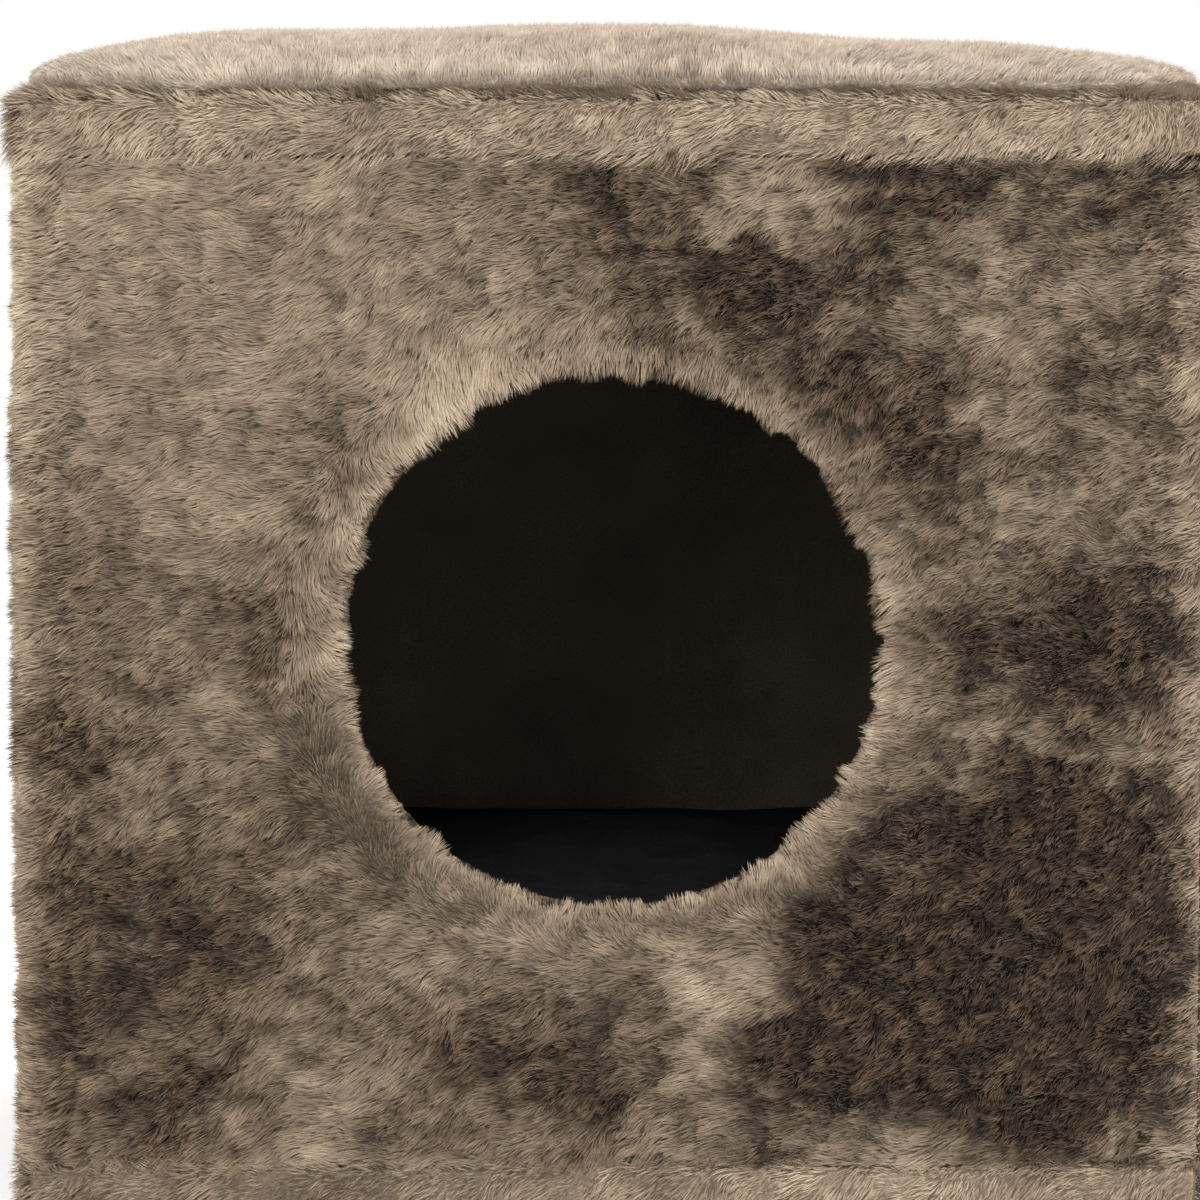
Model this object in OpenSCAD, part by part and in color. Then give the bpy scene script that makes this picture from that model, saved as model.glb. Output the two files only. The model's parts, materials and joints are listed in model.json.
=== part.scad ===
// Cat condo: a plush-wrapped box with a round entrance, a lift-off top pad and a loose floor cushion.
// Millimetres. The origin lies on the floor under the middle of the box, +Z is up and the entrance
// faces -Y.

/* [Box] */
// Width over the bare side panels
body_w = 348; // [320:1:420]
// Depth over the bare front and back panels
body_d = 348; // [320:1:420]
// Height of the den, from its plush floor to its ceiling
den_h = 305; // [280:1:360]
// Thickness of every board
board_t = 12; // [10:0.5:15]
// How far the bare top and base boards stand out past the panels
lip = 2; // [1:0.5:5]
// Side of the square corner posts
post_w = 20; // [18:1:26]

/* [Plush] */
// Pile of the plush where it stands free
nap_t = 6; // [4:0.5:8]
// Plush where it is trapped or stapled
hem_t = 1.5; // [1.2:0.1:2.5]
// Pressed plush on the floor of the den
floor_nap_t = 2; // [1.5:0.5:4]
// Pressed plush on the top, under the pad
top_nap_t = 3; // [2:0.5:5]
// Width of the hems stapled under the base and the top
hem_w = 26; // [22:1:30]
// Rounding of the upright outer corners
corner_r = 9; // [6:0.5:12]
// Rounding of the plush beside the seams of the front and the back
seam_r = 5; // [3:0.5:6]
// Felt that lines the den
lining_t = 1.5; // [1:0.1:2]

/* [Entrance] */
// Radius of the round cut-out in the bare front panel
door_r = 85; // [70:1:92]
// How far the entrance's middle lies above the middle of the den
door_lift = 7.5; // [-10:0.5:12]
// Plush turned through the cut-out
door_nap_t = 2.5; // [1.5:0.5:4]
// Width of the plush hem behind the cut-out
door_hem_w = 14; // [12:1:18]

/* [Top pad] */
// How far the pad stays inside the plush edge of the top
pad_inset = 2.5; // [2:0.5:12]
// Height of the pad where the rounding of its rim ends
pad_edge_h = 17.5; // [14:0.5:24]
// Rise of the pad from there to its middle
pad_crown = 2.5; // [1:0.5:8]
// Corner radius of the pad, seen from above
pad_corner_r = 32; // [24:1:56]
// How far the rounding of the pad's rim reaches in over its top
pad_round = 46; // [24:1:60]
// Height of the pad's widest line
pad_low = 3; // [2:0.5:6]
// How far the pad's lower edge tucks in under its widest line
pad_tuck = 1.5; // [1:0.5:5]
// How far the pad's sides are drawn in between its corners
pad_draw = 2.5; // [1:0.5:5]
// Plush of the pad
pad_wall = 3; // [2:0.5:4]

/* [Floor cushion] */
// Room between the cushion and the walls and posts
cushion_gap = 5; // [3:0.5:8]
// Height of the cushion where the rounding of its rim ends
cushion_edge_h = 70; // [50:1:80]
// Rise of the cushion from there to its middle
cushion_crown = 11; // [4:0.5:14]
// How far the rounding of the cushion's rim reaches in over its top
cushion_round = 44; // [25:1:60]
// Height of the cushion's widest line
cushion_low = 24; // [12:1:30]
// How far the cushion's lower edge tucks in under its widest line
cushion_tuck = 12; // [4:1:18]
// How far the cushion's sides are drawn in between its corners
cushion_draw = 6; // [2:0.5:10]
// Cover of the cushion
cushion_wall = 2; // [1.5:0.5:3]

/* [Fasteners and feet] */
// Shank diameter of the bolts
bolt_d = 6; // [5:0.5:6]
// Length of the bolts under their heads
bolt_l = 30; // [26:1:34]
// Shank diameter of the wood screws
screw_d = 4; // [3:0.5:4.5]
// Diameter of the glide feet
foot_d = 24; // [20:1:30]
// Height of the glide feet
foot_h = 6; // [5:0.5:9]

/* [Hidden] */
$fn = 72;

// Colours
plush_colour = "#8a7762";
pad_colour = "#b3a28d";
felt_colour = "#38322c";
board_colour = "#b08f66";
post_colour = "#d6b98a";
steel_colour = "#b9bcc0";
brass_colour = "#c29a4c";
foot_colour = "#2b2825";
cloth_colour = "#2f2e30";
cushion_colour = "#3d4046";
foam_colour = "#e6dcb4";

// Clearances and the overrun of every cut
overrun = 1;
fit_gap = 0.1;
seat_gap = 0.3;
foam_gap = 0.2;

// Thin sheets and the hook and loop strips
dust_t = 1;
dust_inset = 4;
cloth_t = 1.2;
strip_t = 1.5;
strip_w = 25;
strip_length_share = 0.6;
strip_place_share = 0.29;

// Bolts, washers and threaded inserts
bolt_head_d = 10.5;
bolt_head_h = 3.3;
bolt_socket_d = 4.6;
bolt_socket_h = 2;
bolt_sink = 6;
bolt_end_room = 3;
washer_d = 16;
washer_t = 1.6;
well_d = 18;
insert_wall = 1.6;
insert_l = 14;

// Wood screws, with their places up the posts
screw_head_d = 7.5;
screw_head_h = 2.6;
screw_tip_l = 4;
screw_slot_w = 1;
screw_slot_h = 1;
screw_bite = 6.5;
front_screw_shares = [0.16, 0.5, 0.84];
side_screw_shares = [0.23, 0.57, 0.77];

// Staples, with their places along the hems
staple_crown = 10;
staple_w = 1.2;
staple_t = 0.7;
staple_leg = 7;
door_staple_count = 12;
base_staple_shares = [-0.42, -0.14, 0.14, 0.42];
top_staple_shares = [-0.6, 0, 0.6];
top_staple_inset = 3.5;

// Feet and their nails
foot_inset_x = 56;
foot_inset_y = 18;
foot_rim_r = 2;
foot_recess_d = 10;
foot_recess_h = 3;
nail_d = 2.6;
nail_head_d = 8;
nail_head_h = 1.2;
nail_bite = 9;
nail_tip_l = 3;

// Heights, from the floor up
z_hem = foot_h + dust_t;
z_base = z_hem + hem_t;
z_floor = z_base + board_t;
z_den = z_floor + floor_nap_t;
z_ceiling = z_den + den_h;
z_top = z_ceiling + hem_t;
z_top_plush = z_top + board_t;
z_deck = z_top_plush + top_nap_t;
z_loops = z_deck + strip_t + seat_gap;
z_pad = z_loops + strip_t;
z_pad_cover = z_pad + cloth_t;
z_cushion = z_den + seat_gap;
z_cushion_cover = z_cushion + cloth_t;
z_panel = z_den + hem_t;
door_z = z_den + den_h / 2 + door_lift;

// Places across the box
deck_w = body_w + 2 * lip;
deck_d = body_d + 2 * lip;
out_x = body_w / 2 + nap_t;
out_y = body_d / 2 + nap_t;
side_in = body_w / 2 - board_t;
front_in = body_d / 2 - board_t;
wall_x = side_in - hem_t;
wall_y = front_in - hem_t;
post_x = wall_x - post_w;
post_y = wall_y - post_w;
bolt_x = wall_x - post_w / 2;
bolt_y = wall_y - post_w / 2;
front_half_w = wall_x - hem_t;
panel_h = den_h - 2 * hem_t;
side_thickness = out_x - wall_x;
side_corner_r = min(corner_r, side_thickness / 2);
side_seam_r = min(seam_r, side_thickness / 2);

// The entrance
bore_r = door_r - door_nap_t;
door_hem_r = door_r + door_hem_w;

// Fasteners, worked out from what they go through
bolt_hole_d = bolt_d + 2 * fit_gap;
bolt_seat = bolt_sink - washer_t;
insert_d = bolt_hole_d + 2 * insert_wall;
base_bolt_reach = bolt_seat + bolt_l - board_t - floor_nap_t;
top_bolt_reach = bolt_seat + bolt_l - board_t - hem_t;
screw_l = post_w + hem_t + screw_bite;
nail_l = z_base + nail_bite - foot_recess_h;

// Steps round the soft forms, the lean of their lower edges and where their crowns end
corner_steps = 6;
side_steps = 6;
low_steps = 2;
rim_steps = 5;
crown_steps = 4;
band_steps = 8;
arc_steps = 6;
low_lean = 60;
crown_end_share = 0.8;

// Sizes of the soft forms
pad_half = [out_x + lip - pad_inset, out_y + lip - pad_inset];
pad_form = [pad_edge_h - cloth_t, pad_low, pad_tuck, pad_round, pad_crown];
cushion_half = [wall_x - cushion_gap, wall_y - cushion_gap];
cushion_form = [cushion_edge_h - cloth_t, cushion_low, cushion_tuck, cushion_round, cushion_crown];
// At this radius the cushion's corners pass the posts with the same gap as the walls
cushion_corner_r = post_w / (1 - cos(45));

// Points of an arc from one angle to another
function arc(centre, r, from, to) = [
    for (k = [0 : arc_steps])
        let (turn = from + (to - from) * k / arc_steps)
        centre + r * [cos(turn), sin(turn)]
];

// Outline of a rounded rectangle whose sides bow inwards between the corners
function outline(half, r, bow) = [
    for (q = [0 : 3])
        let (
            along = q % 2 == 0 ? half.x : half.y,
            across = q % 2 == 0 ? half.y : half.x,
            sx = q == 0 || q == 3 ? 1 : -1,
            sy = q < 2 ? 1 : -1,
            normal = [cos(90 * (q + 1)), sin(90 * (q + 1))],
            travel = [-normal.y, normal.x]
        )
        each concat(
            [
                for (a = [0 : corner_steps])
                    let (turn = 90 * (q + a / corner_steps))
                    [sx * (half.x - r), sy * (half.y - r)] + r * [cos(turn), sin(turn)]
            ],
            [
                for (j = [1 : side_steps - 1])
                    let (s = 2 * j / side_steps - 1)
                    normal * (across - bow * (1 - s * s)) + travel * (s * (along - r))
            ]
        )
];

// One ring of a soft form at an [inset, height], with its corner radius and bow in proportion
function ring(step, half, r, bow) =
    let (
        short = min(half.x, half.y),
        left = (short - step[0]) / short,
        inner = [half.x - step[0], half.y - step[0]]
    )
    [for (p = outline(inner, r * left, bow * left)) [p.x, p.y, step[1]]];

// Profile of a cushion, as [inset, height] steps up its lower edge, over its rim and up its crown.
// Its form lists its height at the rim, the height of its widest line, the tuck of its lower edge,
// the reach of its rounded rim and its crown.
function cushion_profile(half, form) =
    let (
        short = min(half.x, half.y),
        rise = form[0],
        low = form[1],
        tuck = form[2],
        rim = form[3],
        crown = form[4]
    )
    concat(
        [
            for (k = [0 : low_steps - 1])
                let (lean = low_lean * (1 - k / low_steps))
                [
                    tuck * (1 - cos(lean)) / (1 - cos(low_lean)),
                    low * (1 - sin(lean) / sin(low_lean))
                ]
        ],
        [
            for (k = [0 : rim_steps])
                let (lean = 90 * k / rim_steps)
                [rim * (1 - cos(lean)), low + (rise - low) * sin(lean)]
        ],
        [
            for (k = [1 : crown_steps])
                let (u = crown_end_share * k / crown_steps)
                [rim + (short - rim) * u, rise + crown * u * u * (3 - 2 * u)]
        ]
    );

// The height of a cushion's middle, and its form one wall further in
function peak_of(form) = form[0] + form[4];
function form_inside(form, wall) = form - wall * [1, 0, 0, 1, 0];

// Profile of a flat plush plate with a full-round rim, as [inset, height] steps
function band_profile(thickness) = [
    for (k = [0 : band_steps])
        let (lean = 180 * k / band_steps - 90)
        thickness / 2 * [1 - cos(lean), 1 + sin(lean)]
];

// Triangles that join the rings of a soft form, facing out or in
function wall_faces(count, size, first, inward) = [
    for (k = [0 : count - 2], i = [0 : size - 1])
        let (
            a = first + k * size + i,
            b = first + k * size + (i + 1) % size,
            c = b + size,
            d = a + size
        )
        each inward ? [[a, c, d], [a, b, c]] : [[a, d, c], [a, c, b]]
];

// Triangles from one ring to a point in its middle, facing up or down
function fan_faces(size, first, middle, up) = [
    for (i = [0 : size - 1])
        let (
            a = first + i,
            b = first + (i + 1) % size
        )
        up ? [b, a, middle] : [a, b, middle]
];

// Triangles of the flat rim between two rings, facing down
function rim_faces(size, outer, inner) = [
    for (i = [0 : size - 1])
        let (
            a = outer + i,
            b = outer + (i + 1) % size,
            c = inner + (i + 1) % size,
            d = inner + i
        )
        each [[a, b, c], [a, c, d]]
];

function rings_of(profile, half, r, bow) = [for (step = profile) each ring(step, half, r, bow)];

// A soft form closed by a flat underside
module soft_solid(profile, half, r, bow, peak) {
    rings = rings_of(profile, half, r, bow);
    count = len(profile);
    size = len(rings) / count;
    polyhedron(
        points = concat(rings, [[0, 0, profile[0][1]], [0, 0, peak]]),
        faces = concat(
            wall_faces(count, size, 0, false),
            fan_faces(size, 0, len(rings), false),
            fan_faces(size, len(rings) - size, len(rings) + 1, true)
        )
    );
}

// A soft form that is open underneath, with one skin inside the other
module soft_shell(outer, inner, half, inner_half, r, inner_r, bow, peak, inner_peak) {
    outside = rings_of(outer, half, r, bow);
    inside = rings_of(inner, inner_half, inner_r, bow);
    count = len(outer);
    size = len(outside) / count;
    start = len(outside) + 1;
    polyhedron(
        points = concat(outside, [[0, 0, peak]], inside, [[0, 0, inner_peak]]),
        faces = concat(
            wall_faces(count, size, 0, false),
            fan_faces(size, start - 1 - size, start - 1, true),
            wall_faces(count, size, start, true),
            fan_faces(size, start + len(inside) - size, start + len(inside), false),
            rim_faces(size, 0, start)
        )
    );
}

// The cover of a cushion: a crowned shell, its walls one thickness all over
module cushion_shell(half, form, r, bow, wall) {
    inner_half = [half.x - wall, half.y - wall];
    inner_form = form_inside(form, wall);
    soft_shell(
        cushion_profile(half, form), cushion_profile(inner_half, inner_form),
        half, inner_half, r, r - wall, bow, peak_of(form), peak_of(inner_form)
    );
}

// The filling of a cushion, inside its cover by a wall
module cushion_core(half, form, r, bow, wall) {
    inner_half = [half.x - wall, half.y - wall];
    inner_form = form_inside(form, wall);
    soft_solid(cushion_profile(inner_half, inner_form), inner_half, r - wall, bow, peak_of(inner_form));
}

// The flat cloth under a cushion, as wide as the lower edge of its cover
module cushion_cloth(half, form, r, bow) {
    lower = ring(cushion_profile(half, form)[0], half, r, bow);
    linear_extrude(cloth_t) polygon([for (p = lower) [p.x, p.y]]);
}

// A box centred on X and Y
module slab(w, d, low, high) {
    translate([-w / 2, -d / 2, low]) cube([w, d, high - low]);
}

// A plush plate round the edge of the top or the base
module plush_band(low, high) {
    half = [deck_w / 2 + nap_t, deck_d / 2 + nap_t];
    translate([0, 0, low])
        soft_solid(band_profile(high - low), half, corner_r + nap_t, 0, high - low);
}

// Copies at the four posts
module at_posts() {
    for (sx = [-1, 1], sy = [-1, 1])
        translate([sx * bolt_x, sy * bolt_y, 0])
            children();
}

// Button-head bolt with a hex socket, its shank pointing up from zero
module bolt() {
    difference() {
        union() {
            cylinder(h = bolt_l, d = bolt_d);
            translate([0, 0, -bolt_head_h]) cylinder(h = bolt_head_h, d = bolt_head_d);
        }
        translate([0, 0, -bolt_head_h - overrun])
            cylinder(h = bolt_socket_h + overrun, d = bolt_socket_d, $fn = 6);
    }
}

// Washer under a bolt's head, above zero
module washer() {
    difference() {
        cylinder(h = washer_t, d = washer_d);
        translate([0, 0, -overrun]) cylinder(h = washer_t + 2 * overrun, d = bolt_hole_d);
    }
}

// Threaded insert, above zero
module insert() {
    difference() {
        cylinder(h = insert_l, d = insert_d);
        translate([0, 0, -overrun]) cylinder(h = insert_l + 2 * overrun, d = bolt_hole_d);
    }
}

// Bore in the end of a post for an insert and the bolt beyond it
module post_bore(reach) {
    translate([0, 0, -overrun]) cylinder(h = insert_l + overrun, d = insert_d + 2 * fit_gap);
    translate([0, 0, -overrun]) cylinder(h = reach + bolt_end_room + overrun, d = bolt_hole_d);
}

// Clearance for a bolt, its washer and its head, pointing up from a board's outer face, with the
// depth of the sheets that cover that face
module bolt_well(cover) {
    translate([0, 0, bolt_sink - overrun]) cylinder(h = bolt_l, d = bolt_hole_d);
    translate([0, 0, -cover - overrun]) cylinder(h = cover + bolt_sink + overrun, d = well_d);
}

module base_bolt_wells() {
    at_posts() translate([0, 0, z_base]) bolt_well(dust_t + hem_t);
}

module top_bolt_wells() {
    at_posts() translate([0, 0, z_top_plush]) mirror([0, 0, 1]) bolt_well(top_nap_t);
}

// Countersunk wood screw, pointing up from its head at zero
module wood_screw() {
    difference() {
        union() {
            cylinder(h = screw_head_h, d = screw_head_d);
            cylinder(h = screw_l - screw_tip_l, d = screw_d);
            translate([0, 0, screw_l - screw_tip_l]) cylinder(h = screw_tip_l, d1 = screw_d, d2 = 0);
        }
        for (turn = [0, 90])
            rotate([0, 0, turn])
                translate([-screw_d / 2, -screw_slot_w / 2, -overrun])
                    cube([screw_d, screw_slot_w, screw_slot_h + overrun]);
    }
}

// Hole for a wood screw
module screw_hole() {
    translate([0, 0, -overrun]) cylinder(h = screw_head_h + overrun, d = screw_head_d + 2 * fit_gap);
    cylinder(h = screw_l + fit_gap, d = screw_d + 2 * fit_gap);
}

// Copies along the front posts, pointing out through the front panel
module at_front_screws() {
    for (sx = [-1, 1], share = front_screw_shares)
        translate([sx * bolt_x, -post_y, z_den + share * den_h])
            rotate([90, 0, 0])
                children();
}

// Copies along the right-hand posts, pointing out through the right panel
module at_right_screws() {
    for (sy = [-1, 1], share = side_screw_shares)
        translate([post_x, sy * bolt_y, z_den + share * den_h])
            rotate([0, 90, 0])
                children();
}

// Staple with its crown on zero and its legs pointing up
module staple() {
    translate([-staple_crown / 2, -staple_w / 2, 0]) cube([staple_crown, staple_w, staple_t]);
    for (sx = [-1, 1])
        translate([sx * (staple_crown - staple_t) / 2 - staple_t / 2, -staple_w / 2, 0])
            cube([staple_t, staple_w, staple_leg]);
}

// Staples along the four sides of a rectangle at a height
module staple_rows(half, spread, shares, z) {
    for (side = [-1, 1], share = shares) {
        translate([share * spread.x, side * half.y, z]) staple();
        translate([side * half.x, share * spread.y, z]) rotate([0, 0, 90]) staple();
    }
}

// Copies at the four feet
module at_feet() {
    for (sx = [-1, 1], sy = [-1, 1])
        translate([sx * (deck_w / 2 - foot_inset_x), sy * (deck_d / 2 - foot_inset_y), 0])
            children();
}

module nail_holes() {
    at_feet() cylinder(h = z_base + nail_bite + fit_gap, d = nail_d + 2 * fit_gap);
}

// Base

module base_board() {
    color(board_colour)
        difference() {
            slab(deck_w, deck_d, z_base, z_floor);
            base_bolt_wells();
            base_staples();
            nail_holes();
        }
}

module base_cover() {
    color(plush_colour)
        difference() {
            plush_band(z_hem, z_den);
            slab(deck_w, deck_d, z_base, z_floor);
            slab(deck_w - 2 * hem_w, deck_d - 2 * hem_w, z_hem - overrun, z_base + overrun);
            base_bolt_wells();
            base_staples();
            nail_holes();
        }
}

module base_staples() {
    half = [(deck_w - hem_w) / 2, (deck_d - hem_w) / 2];
    color(steel_colour) staple_rows(half, [deck_w, deck_d], base_staple_shares, z_hem);
}

module dust_cover() {
    color(cloth_colour)
        difference() {
            slab(deck_w - 2 * dust_inset, deck_d - 2 * dust_inset, foot_h, z_hem);
            base_bolt_wells();
            nail_holes();
        }
}

module feet() {
    foot_r = foot_d / 2;
    hole_r = nail_d / 2 + fit_gap;
    color(foot_colour)
        at_feet()
            rotate_extrude()
                polygon(concat(
                    [[foot_recess_d / 2, 0]],
                    arc([foot_r - foot_rim_r, foot_rim_r], foot_rim_r, 270, 360),
                    [
                        [foot_r, foot_h],
                        [hole_r, foot_h],
                        [hole_r, foot_recess_h],
                        [foot_recess_d / 2, foot_recess_h]
                    ]
                ));
}

module foot_nails() {
    color(steel_colour)
        at_feet()
            translate([0, 0, foot_recess_h]) {
                translate([0, 0, -nail_head_h]) cylinder(h = nail_head_h, d = nail_head_d);
                cylinder(h = nail_l - nail_tip_l, d = nail_d);
                translate([0, 0, nail_l - nail_tip_l]) cylinder(h = nail_tip_l, d1 = nail_d, d2 = 0);
            }
}

module base_bolts() {
    color(steel_colour) at_posts() translate([0, 0, z_base + bolt_seat]) bolt();
}

module base_washers() {
    color(steel_colour) at_posts() translate([0, 0, z_base + bolt_seat]) washer();
}

module base_inserts() {
    color(brass_colour) at_posts() translate([0, 0, z_den]) insert();
}

// Corner posts

module corner_post(sx, sy) {
    color(post_colour)
        difference() {
            translate([sx * bolt_x - post_w / 2, sy * bolt_y - post_w / 2, z_den])
                cube([post_w, post_w, den_h]);
            translate([sx * bolt_x, sy * bolt_y, z_den]) post_bore(base_bolt_reach);
            translate([sx * bolt_x, sy * bolt_y, z_ceiling])
                mirror([0, 0, 1])
                    post_bore(top_bolt_reach);
            mirror([0, sy > 0 ? 1 : 0, 0]) at_front_screws() screw_hole();
            mirror([sx < 0 ? 1 : 0, 0, 0]) at_right_screws() screw_hole();
        }
}

module corner_post_front_left() {
    corner_post(-1, -1);
}

module corner_post_front_right() {
    corner_post(1, -1);
}

module corner_post_back_left() {
    corner_post(-1, 1);
}

module corner_post_back_right() {
    corner_post(1, 1);
}

// Front and back panels, between the side panels

module plain_front_panel() {
    translate([-front_half_w, -body_d / 2, z_panel]) cube([2 * front_half_w, board_t, panel_h]);
}

module plain_front_cover() {
    difference() {
        translate([0, 0, z_den])
            linear_extrude(den_h)
                polygon(concat(
                    [[-wall_x, -wall_y]],
                    arc([-wall_x + seam_r, -out_y + seam_r], seam_r, 180, 270),
                    arc([wall_x - seam_r, -out_y + seam_r], seam_r, 270, 360),
                    [[wall_x, -wall_y]]
                ));
        plain_front_panel();
        translate([-post_x, -front_in, z_den - overrun])
            cube([2 * post_x, hem_t + overrun, den_h + 2 * overrun]);
        at_front_screws() screw_hole();
    }
}

module plain_front_lining() {
    translate([-post_x, -front_in, z_den]) cube([2 * post_x, lining_t, den_h]);
}

// Turns what is drawn upwards from zero to point inwards through the entrance
module through_door() {
    translate([0, -out_y, door_z]) rotate([-90, 0, 0]) children();
}

// The room that the entrance leaves open, flared over the pile at its outer end
module door_cut() {
    depth = out_y - wall_y;
    through_door()
        rotate_extrude()
            polygon(concat(
                [[0, -overrun], [bore_r + nap_t, -overrun]],
                arc([bore_r + nap_t, nap_t], nap_t, 270, 180),
                [[bore_r, depth + overrun], [0, depth + overrun]]
            ));
}

module front_panel() {
    color(board_colour)
        difference() {
            plain_front_panel();
            through_door() cylinder(h = out_y, r = door_r);
            at_front_screws() screw_hole();
            door_staples();
        }
}

module front_cover() {
    pile_depth = nap_t / 2;
    rear = out_y - wall_y;
    color(plush_colour)
        difference() {
            union() {
                plain_front_cover();
                through_door() translate([0, 0, pile_depth]) cylinder(h = rear - pile_depth, r = door_r);
                through_door() translate([0, 0, rear - hem_t]) cylinder(h = hem_t, r = door_hem_r);
            }
            door_cut();
            door_staples();
        }
}

module front_lining() {
    color(felt_colour)
        difference() {
            plain_front_lining();
            through_door() cylinder(h = out_y, r = door_hem_r);
        }
}

module front_panel_screws() {
    color(steel_colour) at_front_screws() wood_screw();
}

module door_staples() {
    color(steel_colour)
        for (i = [0 : door_staple_count - 1])
            translate([0, -wall_y, door_z])
                rotate([90, 0, 0])
                    rotate([0, 0, 360 * (i + 0.5) / door_staple_count])
                        translate([0, door_r + door_hem_w / 2, 0])
                            staple();
}

module back_panel() {
    color(board_colour)
        mirror([0, 1, 0])
            difference() {
                plain_front_panel();
                at_front_screws() screw_hole();
            }
}

module back_cover() {
    color(plush_colour) mirror([0, 1, 0]) plain_front_cover();
}

module back_lining() {
    color(felt_colour) mirror([0, 1, 0]) plain_front_lining();
}

module back_panel_screws() {
    color(steel_colour) mirror([0, 1, 0]) at_front_screws() wood_screw();
}

// Side panels, with plush round their front and back edges

module plain_right_panel() {
    translate([side_in, -body_d / 2, z_panel]) cube([board_t, body_d, panel_h]);
}

module right_panel() {
    color(board_colour)
        difference() {
            plain_right_panel();
            at_right_screws() screw_hole();
        }
}

module right_cover() {
    outer_x = out_x - side_corner_r;
    outer_y = out_y - side_corner_r;
    inner_x = wall_x + side_seam_r;
    inner_y = out_y - side_seam_r;
    color(plush_colour)
        difference() {
            translate([0, 0, z_den])
                linear_extrude(den_h)
                    polygon(concat(
                        arc([outer_x, -outer_y], side_corner_r, 270, 360),
                        arc([outer_x, outer_y], side_corner_r, 0, 90),
                        arc([inner_x, inner_y], side_seam_r, 90, 180),
                        arc([inner_x, -inner_y], side_seam_r, 180, 270)
                    ));
            plain_right_panel();
            translate([wall_x - overrun, -post_y, z_den - overrun])
                cube([hem_t + overrun, 2 * post_y, den_h + 2 * overrun]);
            at_right_screws() screw_hole();
        }
}

module right_lining() {
    color(felt_colour)
        translate([side_in - lining_t, -post_y, z_den])
            cube([lining_t, 2 * post_y, den_h]);
}

module right_panel_screws() {
    color(steel_colour) at_right_screws() wood_screw();
}

module left_panel() {
    mirror([1, 0, 0]) right_panel();
}

module left_cover() {
    mirror([1, 0, 0]) right_cover();
}

module left_lining() {
    mirror([1, 0, 0]) right_lining();
}

module left_panel_screws() {
    mirror([1, 0, 0]) right_panel_screws();
}

// Top

module top_board() {
    color(board_colour)
        difference() {
            slab(deck_w, deck_d, z_top, z_top_plush);
            top_bolt_wells();
            top_staples();
        }
}

module top_cover() {
    color(plush_colour)
        difference() {
            plush_band(z_ceiling, z_deck);
            slab(deck_w, deck_d, z_top, z_top_plush);
            slab(deck_w - 2 * hem_w, deck_d - 2 * hem_w, z_ceiling - overrun, z_top + overrun);
            top_bolt_wells();
            top_staples();
        }
}

module top_staples() {
    half = [wall_x - top_staple_inset, wall_y - top_staple_inset];
    color(steel_colour) staple_rows(half, [post_x, post_y], top_staple_shares, z_ceiling);
}

module ceiling_lining() {
    color(felt_colour)
        difference() {
            slab(deck_w - 2 * hem_w, deck_d - 2 * hem_w, z_ceiling, z_top);
            top_bolt_wells();
        }
}

module top_bolts() {
    color(steel_colour)
        at_posts()
            translate([0, 0, z_top_plush - bolt_seat])
                mirror([0, 0, 1])
                    bolt();
}

module top_washers() {
    color(steel_colour)
        at_posts()
            translate([0, 0, z_top_plush - bolt_seat])
                mirror([0, 0, 1])
                    washer();
}

module top_inserts() {
    color(brass_colour) at_posts() translate([0, 0, z_ceiling]) mirror([0, 0, 1]) insert();
}

module strips(z) {
    for (sx = [-1, 1])
        translate([sx * strip_place_share * deck_w, 0, 0])
            slab(strip_w, strip_length_share * deck_d, z, z + strip_t);
}

module pad_hook_strips() {
    color(cloth_colour) strips(z_deck);
}

// Top pad, which lifts off

module pad_loop_strips() {
    color(cloth_colour) strips(z_loops);
}

module pad_underside() {
    color(cloth_colour)
        translate([0, 0, z_pad])
            cushion_cloth(pad_half, pad_form, pad_corner_r, pad_draw);
}

module pad_foam() {
    color(foam_colour)
        translate([0, 0, z_pad_cover])
            cushion_core(pad_half, pad_form, pad_corner_r, pad_draw, pad_wall + foam_gap);
}

module pad_cover() {
    color(pad_colour)
        translate([0, 0, z_pad_cover])
            cushion_shell(pad_half, pad_form, pad_corner_r, pad_draw, pad_wall);
}

// Floor cushion, loose in the den

module cushion_underside() {
    color(cloth_colour)
        translate([0, 0, z_cushion])
            cushion_cloth(cushion_half, cushion_form, cushion_corner_r, cushion_draw);
}

module cushion_filling() {
    wall = cushion_wall + foam_gap;
    color(foam_colour)
        translate([0, 0, z_cushion_cover])
            cushion_core(cushion_half, cushion_form, cushion_corner_r, cushion_draw, wall);
}

module cushion_cover() {
    color(cushion_colour)
        translate([0, 0, z_cushion_cover])
            cushion_shell(cushion_half, cushion_form, cushion_corner_r, cushion_draw, cushion_wall);
}

base_board();
base_cover();
base_staples();
dust_cover();
feet();
foot_nails();
base_bolts();
base_washers();
base_inserts();
corner_post_front_left();
corner_post_front_right();
corner_post_back_left();
corner_post_back_right();
front_panel();
front_cover();
front_lining();
front_panel_screws();
door_staples();
back_panel();
back_cover();
back_lining();
back_panel_screws();
left_panel();
left_cover();
left_lining();
left_panel_screws();
right_panel();
right_cover();
right_lining();
right_panel_screws();
top_board();
top_cover();
top_staples();
ceiling_lining();
top_bolts();
top_washers();
top_inserts();
pad_hook_strips();
pad_loop_strips();
pad_underside();
pad_foam();
pad_cover();
cushion_underside();
cushion_filling();
cushion_cover();
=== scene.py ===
"""Looks of the cat condo: plush grown strand by strand on its cloth, a furred top pad and a dark den."""

import json
import math
from dataclasses import dataclass
from typing import Callable

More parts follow.
